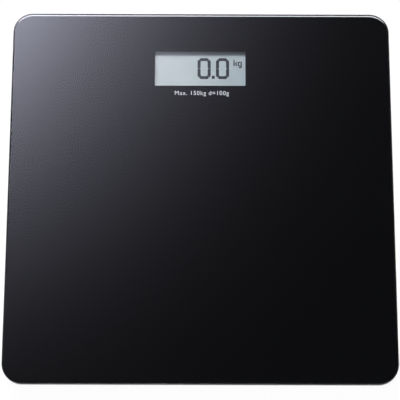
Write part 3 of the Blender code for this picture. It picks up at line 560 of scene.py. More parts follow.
def boxMesh(name, low, high, turn=None):
    shape = bmesh.new()
    bmesh.ops.create_cube(shape, size=1)
    low, high = Vector(low), Vector(high)
    place = Matrix.Translation((low + high) / 2) @ Matrix.Diagonal((*(high - low), 1))
    bmesh.ops.transform(shape, matrix=(turn or Matrix.Identity(4)) @ place, verts=shape.verts)
    return meshFrom(name, shape)


def slabFrom(name, outlines, bottom, top):
    # closed plates from flat outlines of (x, y), each its own island
    shape = bmesh.new()
    for outline in outlines:
        lower = [shape.verts.new((x, y, bottom)) for x, y in outline]
        upper = [shape.verts.new((x, y, top)) for x, y in outline]
        shape.faces.new(upper)
        shape.faces.new(lower[::-1])
        for index in range(len(outline)):
            after = (index + 1) % len(outline)
            shape.faces.new((lower[index], lower[after], upper[after], upper[index]))
    bmesh.ops.recalc_face_normals(shape, faces=shape.faces)
    return meshFrom(name, shape)


def roundedSquare(width, depth, radius, steps=8):
    # corners in order, centred on zero
    made = []
    for index, (side, end) in enumerate(((1, 1), (-1, 1), (-1, -1), (1, -1))):
        for step in range(steps + 1):
            turn = (index + step / steps) * math.pi / 2
            x = side * (width / 2 - radius) + radius * math.cos(turn)
            made.append((x, end * (depth / 2 - radius) + radius * math.sin(turn)))
    return made


def middleOf(node):
    low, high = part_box(node)
    return (low + high) / 2


# geometry node trees

def startTree(name, inputs):
    tree = bpy.data.node_groups.new(name, "GeometryNodeTree")
    for label, kind in inputs:
        tree.interface.new_socket(label, in_out="INPUT", socket_type="NodeSocket" + kind)
    tree.interface.new_socket("Geometry", in_out="OUTPUT", socket_type="NodeSocketGeometry")
    return tree, put(tree, "NodeGroupInput").outputs


def grow(tree, kind, inputs=None, **settings):
    return put(tree, "GeometryNode" + kind, inputs, **settings).outputs[0]


def moved(tree, shape, by):
    return grow(tree, "Transform", {"Geometry": shape, "Translation": by})


def joined(tree, *shapes):
    join = put(tree, "GeometryNodeJoinGeometry")
    for shape in shapes:
        tree.links.new(shape, join.inputs[0])
    return join.outputs[0]


def endTree(tree, shape, material):
    plain = grow(tree, "RealizeInstances", {0: shape})
    dressed = grow(tree, "SetMaterial", {"Geometry": plain, "Material": material})
    put(tree, "NodeGroupOutput", {0: dressed})


def grown(name, tree, settings, points=()):
    mesh = bpy.data.meshes.new(name)
    mesh.from_pydata([tuple(point) for point in points], [], [])
    piece = newPiece(name, mesh)
    modifier = piece.modifiers.new("shape", "NODES")
    modifier.node_group = tree
    for item in tree.interface.items_tree:
        if item.in_out == "INPUT" and item.name in settings:
            modifier[item.identifier] = settings[item.name]
    bake(piece)
    piece.data.materials.clear()
    piece.data.materials.append(settings["Material"])
    return piece


def sheetTree():
    # a flat sheet with round corners and, where Hole Width is above zero, a rectangular opening
    tree, given = startTree("sheetWithOpening", [
        ("Width", "Float"), ("Depth", "Float"), ("Corner Radius", "Float"), ("Corner Steps", "Int"),
        ("Hole Width", "Float"), ("Hole Depth", "Float"), ("Hole Centre", "Vector"),
        ("Hole Radius", "Float"), ("Bottom", "Float"), ("Thickness", "Float"), ("Material", "Material"),
    ])
    outlines = []
    for width, depth, radius, steps in (
        ("Width", "Depth", "Corner Radius", given["Corner Steps"]),
        ("Hole Width", "Hole Depth", "Hole Radius", 4),
    ):
        sides = {"Width": given[width], "Height": given[depth]}
        outlines.append(grow(tree, "FilletCurve", {
            "Curve": grow(tree, "CurvePrimitiveQuadrilateral", sides), "Count": steps,
            "Radius": given[radius], "Limit Radius": True,
        }, mode="POLY"))
    hole = moved(tree, outlines[1], given["Hole Centre"])
    width = {0: given["Hole Width"], 1: 0.0}
    wanted = put(tree, "FunctionNodeCompare", width, operation="GREATER_THAN").outputs[0]
    hole = grow(tree, "Switch", {"Switch": wanted, "True": hole}, input_type="GEOMETRY")
    face = grow(tree, "FillCurve", {"Curve": joined(tree, outlines[0], hole)}, mode="TRIANGLES")
    raised = grow(tree, "ExtrudeMesh", {
        "Mesh": face, "Offset": (0.0, 0.0, 1.0), "Offset Scale": given["Thickness"],
        "Individual": False,
    })
    whole = joined(tree, raised, grow(tree, "FlipFaces", {0: face}))
    closed = grow(tree, "MergeByDistance", {"Geometry": whole, "Distance": 0.01 * mm})
    endTree(tree, moved(tree, closed, vector(tree, z=given["Bottom"])), given["Material"])
    return tree


sheet = sheetTree()
sheetFacts = {
    "holeRadius": 0.4 * mm,
    "steps": 20,
}


def sheetPiece(
    name, width, depth, radius, bottom, thickness, material,
    hole=(0.0, 0.0), holeCentre=(0, 0, 0), steps=sheetFacts["steps"],
):
    made = grown(name, sheet, {
        "Width": width, "Depth": depth, "Corner Radius": radius, "Corner Steps": steps,
        "Hole Width": hole[0], "Hole Depth": hole[1], "Hole Centre": holeCentre,
        "Hole Radius": sheetFacts["holeRadius"], "Bottom": bottom, "Thickness": thickness,
        "Material": material,
    })
    shape = bmesh.new()
    shape.from_mesh(made.data)
    bmesh.ops.dissolve_limit(shape, angle_limit=math.radians(0.3), verts=shape.verts, edges=shape.edges)
    bmesh.ops.recalc_face_normals(shape, faces=shape.faces)
    shape.to_mesh(made.data)
    shape.free()
    return made


# glass platform and the print under it

plateFacts = {
    "cornerRadius": 15.5 * mm,
    "edgeRound": 1.6 * mm,
    "printInset": 0.25 * mm,
    "printInsetRear": 0.9 * mm,
    "printInGlass": 0.03 * mm,  # the ink is fused to the glass
    "window": (72 * mm, 29 * mm),
    "windowFromRear": 31.5 * mm,
    "windowShift": (-0.7 * mm, 0.4 * mm),  # opening in the print, off the middle of the panel
}
glassLow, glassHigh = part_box("glass_platform")
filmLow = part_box("printed_film")[0]
windowRear = glassHigh.y - plateFacts["windowFromRear"]
windowCentre = Vector((0, windowRear - plateFacts["window"][1] / 2, 0))
windowCentre += Vector((*plateFacts["windowShift"], 0))


def addPlate():
    facts = plateFacts
    size = glassHigh - glassLow
    corner = facts["cornerRadius"]
    plate = sheetPiece("glassPlate", size.x, size.y, corner, glassLow.z, size.z, finishes["glass"])
    addBevel(plate, facts["edgeRound"], 8, 60)
    settle(plate, "platform", "clear_glass", "glass_platform")

    inset, rear = facts["printInset"], facts["printInsetRear"]
    shift = Vector((0, (inset - rear) / 2, 0))
    ink = sheetPiece(
        "printLayer", size.x - 2 * inset, size.y - inset - rear, corner - inset,
        filmLow.z, glassLow.z + facts["printInGlass"] - filmLow.z, finishes["inkFace"],
        facts["window"], windowCentre - shift,
    )
    ink.data.transform(Matrix.Translation(shift))
    ink.data.materials.append(finishes["inkBack"])
    for polygon in ink.data.polygons:
        polygon.material_index = 0 if polygon.normal.z > 0.5 else 1
    settle(ink, "platform", "black_print", "printed_film")


addPlate()
print("glass and print made")


# white capacity line

lineFacts = {
    "words": "Max. 150kg d=100g",
    "width": 42.8 * mm,
    "belowWindow": 6.7 * mm,  # front edge of the window to the middle of the letters
    "centreX": 0.7 * mm,
    "tall": 4.6 * mm,
    "spacing": 1.12,
    "thickness": 0.02 * mm,
}


def textMesh(name, words, width, tall, centre, height, thickness, spacing=1.0):
    data = bpy.data.curves.new(name, "FONT")
    data.body = words
    data.align_x = "CENTER"
    data.size = 1
    data.space_character = spacing
    data.resolution_u = 6
    data.extrude = 0.5
    source = newPiece(name, data)
    bpy.context.view_layer.update()
    graph = bpy.context.evaluated_depsgraph_get()
    mesh = bpy.data.meshes.new_from_object(source.evaluated_get(graph))
    bpy.data.objects.remove(source)
    shape = bmesh.new()
    shape.from_mesh(mesh)
    bmesh.ops.remove_doubles(shape, verts=shape.verts, dist=0.0005)
    bmesh.ops.recalc_face_normals(shape, faces=shape.faces)
    shape.to_mesh(mesh)
    shape.free()
    xs = [vertex.co.x for vertex in mesh.vertices]
    ys = [vertex.co.y for vertex in mesh.vertices]
    scaleX = width / (max(xs) - min(xs))
    scaleY = tall / (max(ys) - min(ys))
    middle = Vector(((max(xs) + min(xs)) / 2, (max(ys) + min(ys)) / 2, -0.5))
    place = Matrix.Translation((centre[0], centre[1], height))
    place = place @ Matrix.Diagonal((scaleX, scaleY, thickness, 1))
    mesh.transform(place @ Matrix.Translation(-middle))
    mesh.name = name
    return mesh


def addCapacityLine():
    facts = lineFacts
    front = windowCentre.y - plateFacts["window"][1] / 2
    centre = (facts["centreX"], front - facts["belowWindow"])
    face = glassLow.z + plateFacts["printInGlass"]
    mesh = textMesh(
        "capacityLine", facts["words"], facts["width"], facts["tall"], centre, face,
        facts["thickness"], facts["spacing"],
    )
    dress(mesh, "inkWhite")
    settle(newPiece("capacityLine", mesh), "platform", "white_print")


addCapacityLine()


# display: panel face, digits, point and unit sign

displayFacts = {
    "faceInset": 1.2 * mm,
    "faceLift": 0.02 * mm,
    "faceThickness": 0.16 * mm,
    "inkThickness": 0.02 * mm,
    "digitLefts": (-2.8 * mm, 11.9 * mm),
    "digitWidth": 10.5 * mm,
    "digitBottom": 96.8 * mm,
    "digitTop": 114.6 * mm,
    "stroke": 2.45 * mm,
    "chamfer": 2.5 * mm,
    "split": 0.14 * mm,  # gap between neighbouring segments
    "pointCentre": (9.75 * mm, 98.3 * mm),
    "pointSize": 2.5 * mm,
    "signStart": (26.0 * mm, 107.8 * mm),  # foot of the k
    "signStroke": 0.95 * mm,
    "signStrokes": (  # in millimetres from the start: k stem and arms, g stem and bowl
        ((0.35, 0.0), (0.35, 5.2)),
        ((2.75, 3.5), (1.6, 1.9), (2.75, 0.1)),
        ((6.05, 3.7), (6.05, -0.8), (5.55, -1.25), (4.0, -1.25)),
        ((5.5, 3.35), (4.4, 3.35), (3.8, 2.7), (3.8, 0.9), (4.4, 0.25), (5.5, 0.25)),
    ),
}


def digitOutlines(left):
    # the six outer segments of a digit, which show a zero
    facts = displayFacts
    right = left + facts["digitWidth"]
    middleX = (left + right) / 2
    bottom, top = facts["digitBottom"], facts["digitTop"]
    middleY = (bottom + top) / 2
    stroke, outer, gap = facts["stroke"], facts["chamfer"], facts["split"] / 2
    inner = outer - stroke * (2 - math.sqrt(2))
    slant = gap / math.sqrt(2)
    roof = [
        (right - outer / 2 - slant, top - outer / 2 + slant),
        (right - outer, top),
        (left + outer, top),
        (left + outer / 2 + slant, top - outer / 2 + slant),
        (left + stroke + inner / 2 + slant, top - stroke - inner / 2 + slant),
        (left + stroke + inner, top - stroke),
        (right - stroke - inner, top - stroke),
        (right - stroke - inner / 2 - slant, top - stroke - inner / 2 + slant),
    ]
    wall = [
        (right - outer / 2 + slant, top - outer / 2 - slant),
        (right - stroke - inner / 2 + slant, top - stroke - inner / 2 - slant),
        (right - stroke, top - stroke - inner),
        (right - stroke, middleY + gap + stroke * 0.25),
        (right - stroke * 0.75, middleY + gap),
        (right, middleY + gap),
        (right, top - outer),
    ]
    made = []
    for outline, flips in ((roof, ((1, 1), (1, -1))), (wall, ((1, 1), (1, -1), (-1, 1), (-1, -1)))):
        for flipX, flipY in flips:
            made.append([
                (middleX + (x - middleX) * flipX, middleY + (y - middleY) * flipY) for x, y in outline
            ])
    return made


def strokeOutline(points, width):
    # a bent line of even width as one closed outline
    ways = [(after - point).normalized() for point, after in zip(points, points[1:])]
    near, far = [], []
    for index, point in enumerate(points):
        before, after = ways[max(index - 1, 0)], ways[min(index, len(ways) - 1)]
        along = (before + after).normalized()
        side = Vector((-along.y, along.x)) * (width / 2 / along.dot(after))
        near.append(tuple(point + side))
        far.append(tuple(point - side))
    return near + far[::-1]


def addDisplay():
    facts = displayFacts
    low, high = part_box("lcd_front_glass")
    size = high - low
    inset = facts["faceInset"]
    face = sheetPiece(
        "panelFace", size.x - 2 * inset, size.y - 2 * inset, 0.3 * mm,
        0.0, facts["faceThickness"], finishes["panel"], steps=3,
    )
    top = high.z + facts["faceLift"]
    face.data.transform(Matrix.Translation(((low.x + high.x) / 2, (low.y + high.y) / 2, top)))
    settle(face, "platform", "lcd_glass")

    ink = top + facts["faceThickness"]
    outlines = [outline for left in facts["digitLefts"] for outline in digitOutlines(left)]
    x, y = facts["pointCentre"]
    half = facts["pointSize"] / 2
    corner = ((-half, -half), (half, -half), (half, half), (-half, half))
    outlines.append([(x + right, y + up) for right, up in corner])
    digits = slabFrom("panelDigits", outlines, ink, ink + facts["inkThickness"])
    dress(digits, "segments")
    settle(newPiece("panelDigits", digits), "platform", "lcd_segments")

    start = Vector(facts["signStart"])
    outlines = []
    for points in facts["signStrokes"]:
        line = [start + Vector(point) * mm for point in points]
        outlines.append(strokeOutline(line, facts["signStroke"]))
    sign = slabFrom("panelUnitSign", outlines, ink, ink + facts["inkThickness"])
    dress(sign, "segments")
    settle(newPiece("panelUnitSign", sign), "platform", "lcd_segments")


addDisplay()
print("display made")


# feet: housing, foam ring, cup and sole

footFacts = {
    "flangeThickness": 1.6 * mm,
    "skirtRadius": 28.056 * mm,
    "skirtTaper": 1.0 * mm,
    "cavityRadius": 26.056 * mm,
    "lipRadius": 24.656 * mm,
    "lipHeight": 1.8 * mm,
    "lipSlope": 0.3 * mm,
    "ceiling": 2.0 * mm,
    "bossRadius": 4.0 * mm,
    "bossGap": 0.35 * mm,  # above the load cell
    "housingRound": 0.7 * mm,
    "tapeHole": 12.0 * mm,
    "tapeRound": 0.15 * mm,
    "notchWidth": 5.0 * mm,
    "notchInside": 7.0 * mm,
    "notchBottom": 9.1 * mm,
    "gussets": 18,
    "gussetSize": (3.2 * mm, 0.9 * mm, 5.5 * mm),  # reach, thickness, height
    "gussetSink": (0.1 * mm, 0.05 * mm),  # clear of the skirt and into the flange
    "gussetRound": 0.2 * mm,
    "cupRadius": 23.856 * mm,
    "cupFlange": 1.6 * mm,
    "cupFlangeHeight": 2.2 * mm,
    "cupRound": 0.8 * mm,
    "cellSeat": 4.7 * mm,
    "cellPocket": 34.6 * mm,
    "cellPocketCorner": 6.3 * mm,
    "cellRoom": (-11 * mm, 10 * mm, 9 * mm, 0.9 * mm),  # near, far, half width, depth under the seat
    "soleGap": 0.15 * mm,
    "soleRound": 0.35 * mm,
    "recess": 2.3 * mm,
    "rubberGroove": (12.0 * mm, 14.4 * mm, 0.6 * mm),
    "fineGrooves": (3.4 * mm, 6.2 * mm, 9.0 * mm, 17.2 * mm),
    "fineGrooveWidth": 0.7 * mm,
    "fineGrooveDepth": 0.35 * mm,
    "grooveLean": 0.05 * mm,
    "studs": 36,
    "studSize": (1.5 * mm, 0.9 * mm, 0.5 * mm),
    "studHeight": 0.37 * mm,  # middle of a stud above the floor
}


def gussetTree():
    # thin three-sided fins set round a ring
    tree, given = startTree("finsRoundARing", [
        ("Count", "Int"), ("Inner Radius", "Float"), ("Reach", "Float"), ("Height", "Float"),
        ("Thickness", "Float"), ("Top", "Float"), ("Centre", "Vector"), ("Turn", "Float"),
        ("Material", "Material"),
    ])
    fin = grow(tree, "MeshCube", {"Size": (1.0, 1.0, 1.0)})
    place = grow(tree, "InputPosition")
    parts = put(tree, "ShaderNodeSeparateXYZ", {0: place}).outputs
    # the lower outer edge is pulled in towards the wall, so that a fin is a triangle from the side
    low = calc(tree, "LESS_THAN", parts[2], 0.0)
    out = calc(tree, "GREATER_THAN", parts[0], 0.0)
    pull = times(tree, times(tree, low, out), -0.92)
    fin = grow(tree, "SetPosition", {"Geometry": fin, "Offset": vector(tree, pull)})
    size = vector(tree, given["Reach"], given["Thickness"], given["Height"])
    outward = calc(tree, "ADD", given["Inner Radius"], times(tree, given["Reach"], 0.5))
    drop = calc(tree, "SUBTRACT", given["Top"], times(tree, given["Height"], 0.5))
    spot = vector(tree, outward, 0.0, drop)
    fin = grow(tree, "Transform", {"Geometry": fin, "Translation": spot, "Scale": size})
    dots = grow(tree, "Points", {"Count": given["Count"], "Position": (0.0, 0.0, 0.0)})
    share = calc(tree, "DIVIDE", calc(tree, "ADD", grow(tree, "InputIndex"), 0.5), given["Count"])
    angle = calc(tree, "ADD", times(tree, share, 2 * math.pi), given["Turn"])
    ring = grow(tree, "InstanceOnPoints", {
        "Points": dots, "Instance": fin, "Rotation": vector(tree, z=angle),
    })
    endTree(tree, moved(tree, ring, given["Centre"]), given["Material"])
    return tree


def studTree():
    # small round-cornered studs set round a ring
    tree, given = startTree("studsRoundARing", [
        ("Count", "Int"), ("Ring Radius", "Float"), ("Size", "Vector"), ("Centre", "Vector"),
        ("Material", "Material"),
    ])
    block = grow(tree, "MeshCube", {"Size": (1.0, 1.0, 1.0)})
    block = grow(tree, "SubdivisionSurface", {"Mesh": block, "Level": 2, "Edge Crease": 0.55})
    block = grow(tree, "Transform", {"Geometry": block, "Scale": given["Size"]})
    ring = grow(tree, "MeshCircle", {"Vertices": given["Count"], "Radius": given["Ring Radius"]})
    share = calc(tree, "DIVIDE", grow(tree, "InputIndex"), given["Count"])
    spin = vector(tree, z=times(tree, share, 2 * math.pi))
    studs = grow(tree, "InstanceOnPoints", {"Points": ring, "Instance": block, "Rotation": spin})
    endTree(tree, moved(tree, studs, given["Centre"]), given["Material"])
    return tree


fins = gussetTree()
studs = studTree()


def footHousing(corner, centre, turn):
    facts = footFacts
    low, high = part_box("foot_housing_" + corner)
    radius = (high.x - low.x) / 2
    flange = high.z - facts["flangeThickness"]
    ceiling = high.z - facts["ceiling"]
    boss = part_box("load_cell_" + corner)[1].z + facts["bossGap"]
    outline = softened([
        (0, high.z),
        (radius, high.z),
        (radius, flange),
        (facts["skirtRadius"] + facts["skirtTaper"], flange),
        (facts["skirtRadius"], low.z),
        (facts["lipRadius"], low.z),
        (facts["lipRadius"], low.z + facts["lipHeight"]),
        (facts["cavityRadius"], low.z + facts["lipHeight"] + facts["lipSlope"]),
        (facts["cavityRadius"], ceiling),
        (facts["bossRadius"], ceiling),
        (facts["bossRadius"], boss),
        (0, boss),
    ], facts["housingRound"], 4, closed=False)
    housing = newPiece("footHousing_" + corner, turned("footHousing_" + corner, outline, centre))
    half = facts["notchWidth"] / 2
    notch = boxMesh(
        "notch", (facts["cavityRadius"] - facts["notchInside"], -half, facts["notchBottom"]),
        (radius + mm, half, high.z + mm), Matrix.Translation((centre.x, centre.y, 0)) @ turn,
    )
    carve(housing, newPiece("notch", notch))
    dress(housing.data, "blackPlastic")
    shadeByAngle(housing.data)
    settle(housing, "platform", "black_plastic", "foot_housing_" + corner)

    reach, thickness, height = facts["gussetSize"]
    clear, sink = facts["gussetSink"]
    ribs = grown("footRibs_" + corner, fins, {
        "Count": facts["gussets"], "Inner Radius": facts["skirtRadius"] + clear, "Reach": reach,
        "Height": height, "Thickness": thickness, "Top": flange + sink,
        "Centre": (centre.x, centre.y, 0.0), "Turn": turn.to_euler().z,
        "Material": finishes["blackPlastic"],
    })
    addBevel(ribs, facts["gussetRound"], 2)
    settle(ribs, "platform", "black_plastic")


def foamRing(corner, centre):
    low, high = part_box("foot_tape_" + corner)
    bottom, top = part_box("foot_housing_" + corner)[1].z, filmLow.z
    outer = (high.x - low.x) / 2
    hole = footFacts["tapeHole"]
    section = [(hole, bottom), (outer, bottom), (outer, top), (hole, top)]
    outline = softened(section, footFacts["tapeRound"], 2)
    ring = turned("foamRing_" + corner, outline, centre, closed=True)
    dress(ring, "foam")
    shadeByAngle(ring)
    settle(newPiece(ring.name, ring), "platform", "black_foam", "foot_tape_" + corner)


def footCup(corner, centre, turn):
    facts = footFacts
    low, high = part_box("foot_cup_" + corner)
    soleLow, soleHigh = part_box("foot_sole_" + corner)
    recess = (soleHigh.x - soleLow.x) / 2 + facts["soleGap"]
    flange = high.z - facts["cupFlangeHeight"]
    outline = softened([
        (0, high.z),
        (facts["cupRadius"] + facts["cupFlange"], high.z),
        (facts["cupRadius"] + facts["cupFlange"], flange),
        (facts["cupRadius"], flange),
        (facts["cupRadius"], low.z),
        (recess, low.z),
        (recess, facts["recess"]),
        (0, facts["recess"]),
    ], facts["cupRound"], 4, closed=False)
    cup = newPiece("footCup_" + corner, turned("footCup_" + corner, outline, centre))
    place = Matrix.Translation((centre.x, centre.y, 0)) @ turn
    opening = roundedSquare(facts["cellPocket"], facts["cellPocket"], facts["cellPocketCorner"])
    pocket = slabFrom("pocket", [opening], facts["cellSeat"], high.z + mm)
    pocket.transform(place)
    near, far, half, depth = facts["cellRoom"]
    room = boxMesh("room", (near, -half, facts["cellSeat"] - depth), (far, half, high.z + mm), place)
    carve(cup, newPiece("pocket", pocket), newPiece("room", room))
    dress(cup.data, "blackPlastic")
    shadeByAngle(cup.data)
    settle(cup, "foot_" + corner, "black_plastic", "foot_cup_" + corner)


def footSole(corner, centre):
    facts = footFacts
    low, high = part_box("foot_sole_" + corner)
    radius = (high.x - low.x) / 2
    inner, outer, depth = facts["rubberGroove"]
    outline = [(0, high.z), (radius, high.z), (radius, low.z)]
    grooves = [(inner, outer, depth)]
    for middle in facts["fineGrooves"]:
        half = facts["fineGrooveWidth"] / 2
        grooves.append((middle - half, middle + half, facts["fineGrooveDepth"]))
    lean = facts["grooveLean"]
    for near, far, deep in sorted(grooves, reverse=True):
        top = low.z + deep
        outline += [(far, low.z), (far - lean, top), (near + lean, top), (near, low.z)]
    outline.append((0, low.z))
    outline = softened(outline, facts["soleRound"], 3, closed=False)
    sole = turned("footSole_" + corner, outline, centre)
    dress(sole, "rubber")
    shadeByAngle(sole, 60)
    settle(newPiece(sole.name, sole), "foot_" + corner, "grey_rubber", "foot_sole_" + corner)

    tread = grown("footTread_" + corner, studs, {
        "Count": facts["studs"], "Ring Radius": (inner + outer) / 2, "Size": facts["studSize"],
        "Centre": (centre.x, centre.y, low.z + facts["studHeight"]), "Material": finishes["rubber"],
    })
    shadeByAngle(tread.data, 60)
    settle(tread, "foot_" + corner, "grey_rubber")


for corner in corners:
    centre = middleOf("foot_sole_" + corner)
    towards = middleOf("strain_gauge_" + corner) - centre
    turn = Matrix.Rotation(math.atan2(towards.y, towards.x), 4, "Z")
    footHousing(corner, centre, turn)
    foamRing(corner, centre)
    footCup(corner, centre, turn)
    footSole(corner, centre)
print("feet made")


# moulded parts under the glass, from clean copies of their CAD meshes with soft edges

mouldFacts = {  # name, body, slot, finish, width of the soft edges
    "display_housing": ("displayHousing", "platform", "black_plastic", "blackPlastic", 0.35 * mm),
    "battery_door": ("batteryDoor", "battery_cover", "black_plastic", "blackPlastic", 0.12 * mm),
    "display_bezel": ("displayBezel", "platform", "black_plastic", "blackPlastic", 0.15 * mm),
    "lcd_holder": ("panelHolder", "platform", "white_plastic", "whitePlastic", 0.15 * mm),
    "cable_duct_": ("cableDuct_", "platform", "black_plastic", "blackPlastic", 0.3 * mm),
}


def addMouldings():
    for node, (name, body, slot, look, width) in mouldFacts.items():
        for end in corners if node.endswith("_") else [""]:
            mesh = mergedCopy(name + end, node + end)
            dress(mesh, look)
            shadeByAngle(mesh)
            piece = newPiece(name + end, mesh)
            addBevel(piece, width, 3)
            settle(piece, body, slot, node + end)


addMouldings()


tapeFacts = {
    "openingMargin": 2 * mm,  # clear of the window on each side
    "cornerRadius": 6 * mm,
}


def addDisplayTape():
    low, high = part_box("display_tape")
    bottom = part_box("display_housing")[1].z
    size = high - low
    opening = [side + 2 * tapeFacts["openingMargin"] for side in plateFacts["window"]]
    middle = (low + high) / 2
    tape = sheetPiece(
        "foamFrame", size.x, size.y, tapeFacts["cornerRadius"], bottom, filmLow.z - bottom,
        finishes["foam"], opening, windowCentre - Vector((middle.x, middle.y, 0)), steps=8,
    )
    tape.data.transform(Matrix.Translation((middle.x, middle.y, 0)))
    settle(tape, "platform", "black_foam", "display_tape")


addDisplayTape()
print("mouldings made")


# unit button, coin cell, screws, grip ridges on the door

smallFacts = {
    "buttonDish": 0.35 * mm,
    "buttonFlange": 0.5 * mm,
    "buttonRadius": 4.0 * mm,
    "buttonRound": 0.3 * mm,
    "coinCapInset": 1.2 * mm,
    "coinShoulder": 0.25 * mm,
    "coinRim": (0.35 * mm, 0.15 * mm),  # outside the cap, under its top
    "coinGroove": (0.2 * mm, 0.5 * mm),
    "coinRound": 0.35 * mm,
    "screwHead": (1.9 * mm, 1.4 * mm),
    "screwShaft": 1.0 * mm,
    "screwRecess": 0.8 * mm,
    "ridges": 6,
    "ridgeLength": 11 * mm,
    "ridgeStep": 1.25 * mm,
    "ridgeHeight": 0.3 * mm,
    "ridgeStart": (8.2 * mm, 0.1 * mm),  # from the door's front edge, and above its outer face
}


def addButton():
    low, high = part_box("unit_button")
    centre = (low + high) / 2
    outer = (high.x - low.x) / 2
    radius = smallFacts["buttonRadius"]
    dish = smallFacts["buttonDish"]
    outline = softened([
        (0, high.z), (outer, high.z), (outer, high.z - smallFacts["buttonFlange"]),
        (radius, high.z - smallFacts["buttonFlange"]), (radius, low.z), (radius * 0.8, low.z),
        (radius * 0.55, low.z + dish * 0.7), (0, low.z + dish),
    ], smallFacts["buttonRound"], 4, closed=False)
    mesh = turned("unitButton", outline, centre, 80)
    dress(mesh, "rubber")
    shadeByAngle(mesh, 50)
    settle(newPiece("unitButton", mesh), "unit_button_cap", "grey_rubber", "unit_button")


def addCoinCell():
    low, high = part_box("coin_cell")
    centre = (low + high) / 2
    radius = (high.x - low.x) / 2
    cap = radius - smallFacts["coinCapInset"]
    rim, groove = smallFacts["coinRim"], smallFacts["coinGroove"]
    outline = softened([
        (0, low.z), (radius, low.z), (radius, high.z - smallFacts["coinShoulder"]),
        (cap + rim[0], high.z - rim[1]), (cap + groove[0], high.z - groove[1]),
        (cap, high.z), (0, high.z),
    ], smallFacts["coinRound"], 4, closed=False)
    mesh = turned("coinCell", outline, centre)
    dress(mesh, "contactSteel")
    shadeByAngle(mesh, 50)
    settle(newPiece("coinCell", mesh), "platform", "contact_steel", "coin_cell")


def screwTree():
    # pan head with a cross recess on a plain shaft, one at every point of the mesh
    tree, given = startTree("crossHeadScrews", [
        ("Points", "Geometry"), ("Head Radius", "Float"), ("Head Height", "Float"),
        ("Shaft Radius", "Float"), ("Length", "Float"), ("Recess Depth", "Float"),
        ("Material", "Material"),
    ])
    head = grow(tree, "MeshCylinder", {
        "Vertices": 40, "Side Segments": 3, "Radius": given["Head Radius"],
        "Depth": given["Head Height"],
    })
    place = grow(tree, "InputPosition")
    parts = put(tree, "ShaderNodeSeparateXYZ", {0: place}).outputs
    crown = calc(tree, "MAXIMUM", calc(tree, "DIVIDE", parts[2], given["Head Height"]), 0.0)
    crown = calc(tree, "SUBTRACT", 1.0, times(tree, times(tree, crown, crown), 1.3))
    across = vector(tree, crown, crown, 1.0)
    shaped = put(tree, "ShaderNodeVectorMath", {0: place, 1: across}, operation="MULTIPLY").outputs[0]
    head = grow(tree, "SetPosition", {"Geometry": head, "Position": shaped})
    lift = vector(tree, z=times(tree, given["Head Height"], 0.5))
    for long, wide, deep in ((1.15, 0.33, 2.0), (0.33, 1.15, 1.8)):
        size = vector(
            tree, times(tree, given["Head Radius"], long), times(tree, given["Head Radius"], wide),
            times(tree, given["Recess Depth"], deep),
        )
        cut = put(tree, "GeometryNodeMeshBoolean", operation="DIFFERENCE")
        tree.links.new(head, cut.inputs["Mesh 1"])
        tree.links.new(moved(tree, grow(tree, "MeshCube", {"Size": size}), lift), cut.inputs["Mesh 2"])
        head = cut.outputs[0]
    shaft = grow(tree, "MeshCylinder", {
        "Vertices": 24, "Radius": given["Shaft Radius"], "Depth": given["Length"],
    })
    down = times(tree, calc(tree, "ADD", given["Length"], given["Head Height"]), -0.5)
    shaft = moved(tree, shaft, vector(tree, z=calc(tree, "ADD", down, 0.1 * mm)))
    dots = grow(tree, "MeshToPoints", {0: given["Points"]})
    every = grow(tree, "InstanceOnPoints", {"Points": dots, "Instance": joined(tree, head, shaft)})
    endTree(tree, every, given["Material"])
    return tree


def addScrews():
    radius, height = smallFacts["screwHead"]
    nodes = ["board_screw_%d" % number for number in (1, 2, 3, 4)]
    points = []
    for node in nodes:
        low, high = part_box(node)
        points.append(((low.x + high.x) / 2, (low.y + high.y) / 2, high.z - height / 2))
    screws = grown("boardScrews", screwTree(), {
        "Head Radius": radius, "Head Height": height, "Shaft Radius": smallFacts["screwShaft"],
        "Length": high.z - low.z - height, "Recess Depth": smallFacts["screwRecess"],
        "Material": finishes["contactSteel"],
    }, points)
    shadeByAngle(screws.data, 40)
    settle(screws, "platform", "contact_steel", *nodes)


def ridgeTree():
    # a row of round-ended ridges
    tree, given = startTree("gripRidges", [
        ("Count", "Int"), ("Step", "Float"), ("Length", "Float"), ("Height", "Float"),
        ("Start", "Vector"), ("Material", "Material"),
    ])
    bar = grow(tree, "MeshCube", {"Size": (1.0, 1.0, 1.0)})
    bar = grow(tree, "SubdivisionSurface", {"Mesh": bar, "Level": 3, "Edge Crease": 0.35})
    width, height = times(tree, given["Step"], 0.6), times(tree, given["Height"], 2.4)
    size = vector(tree, given["Length"], width, height)
    bar = grow(tree, "Transform", {"Geometry": bar, "Scale": size})
    row = grow(tree, "MeshLine", {
        "Count": given["Count"], "Start Location": given["Start"],
        "Offset": vector(tree, y=given["Step"]),
    })
    every = grow(tree, "InstanceOnPoints", {"Points": row, "Instance": bar})
    endTree(tree, every, given["Material"])
    return tree


def addRidges():
    low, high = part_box("battery_door")
    facts = smallFacts
    inward, up = facts["ridgeStart"]
    start = Vector(((low.x + high.x) / 2, low.y + inward, low.z + up))
    ridges = grown("doorRidges", ridgeTree(), {
        "Count": facts["ridges"], "Step": facts["ridgeStep"], "Length": facts["ridgeLength"],
        "Height": facts["ridgeHeight"], "Start": start, "Material": finishes["blackPlastic"],
    })
    shadeByAngle(ridges.data, 60)
    settle(ridges, "battery_cover", "black_plastic")


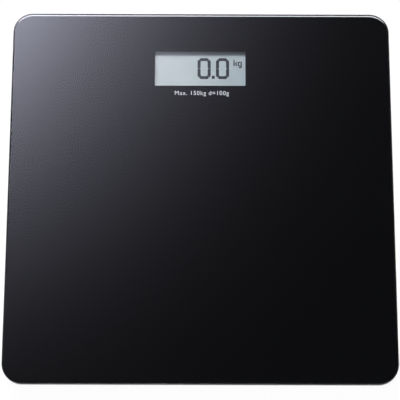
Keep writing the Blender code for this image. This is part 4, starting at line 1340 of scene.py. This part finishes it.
markFacts = {  # words, width, height, how far the letters stand out
    "unitMarks": ("kg  lb  st", 15.0 * mm, 3.4 * mm, 0.16 * mm),
    "cellPoleMark": ("+", 4.6 * mm, 4.6 * mm, 0.05 * mm),
    "unitMarksGap": 9.2 * mm,  # middle of the button to the middle of the letters
    "sink": 0.05 * mm,
}


def addMark(name, centre, face, slot, look):
    # raised letters on a face that looks down, upright with the display end at the top
    words, width, tall, relief = markFacts[name]
    sink = markFacts["sink"]
    mesh = textMesh(name, words, width, tall, (0, 0), 0.0, relief + sink)
    mesh.transform(Matrix.Rotation(math.pi, 4, "Y"))
    mesh.transform(Matrix.Translation((centre[0], centre[1], face + sink)))
    dress(mesh, look)
    settle(newPiece(name, mesh), "platform", slot)


def addMarks():
    button = middleOf("unit_button")
    beside = (button.x, button.y + markFacts["unitMarksGap"])
    housing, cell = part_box("display_housing")[0].z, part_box("coin_cell")[0].z
    addMark("unitMarks", beside, housing, "black_plastic", "blackPlastic")
    addMark("cellPoleMark", middleOf("coin_cell"), cell, "contact_steel", "cellSteel")


addButton()
addCoinCell()
addScrews()
addRidges()
addMarks()
print("small parts made")


# finishes of the CAD nodes, by how their names start

nodeLooks = {
    "foot_tape_": "foam", "display_tape": "foam",
    "foot_housing_": "blackPlastic", "foot_cup_": "blackPlastic", "foot_sole_": "rubber",
    "load_cell_": "cellSteel", "strain_gauge_": "gauge",
    "cable_duct_": "blackPlastic", "sensor_cable_": "jacket",
    "display_housing": "blackPlastic", "display_bezel": "blackPlastic", "lcd_holder": "whitePlastic",
    "lcd_front_glass": "panel", "lcd_rear_glass": "panel", "zebra_strip": "zebra",
    "circuit_board": "board", "controller_chip": "chip",
    "crystal": "contactSteel", "capacitor": "gauge",
    "board_screw_": "contactSteel", "unit_switch": "contactSteel", "switch_plunger": "blackPlastic",
    "unit_button": "rubber", "coin_cell": "contactSteel", "battery_contact_": "contactSteel",
    "battery_lead_positive": "lead", "battery_lead_negative": "chip", "battery_door": "blackPlastic",
}
for name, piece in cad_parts.items():
    for start, look in nodeLooks.items():
        if name.startswith(start):
            for index in range(len(piece.data.materials)):
                piece.material_slots[index].material = finishes[look]
print("node materials set")
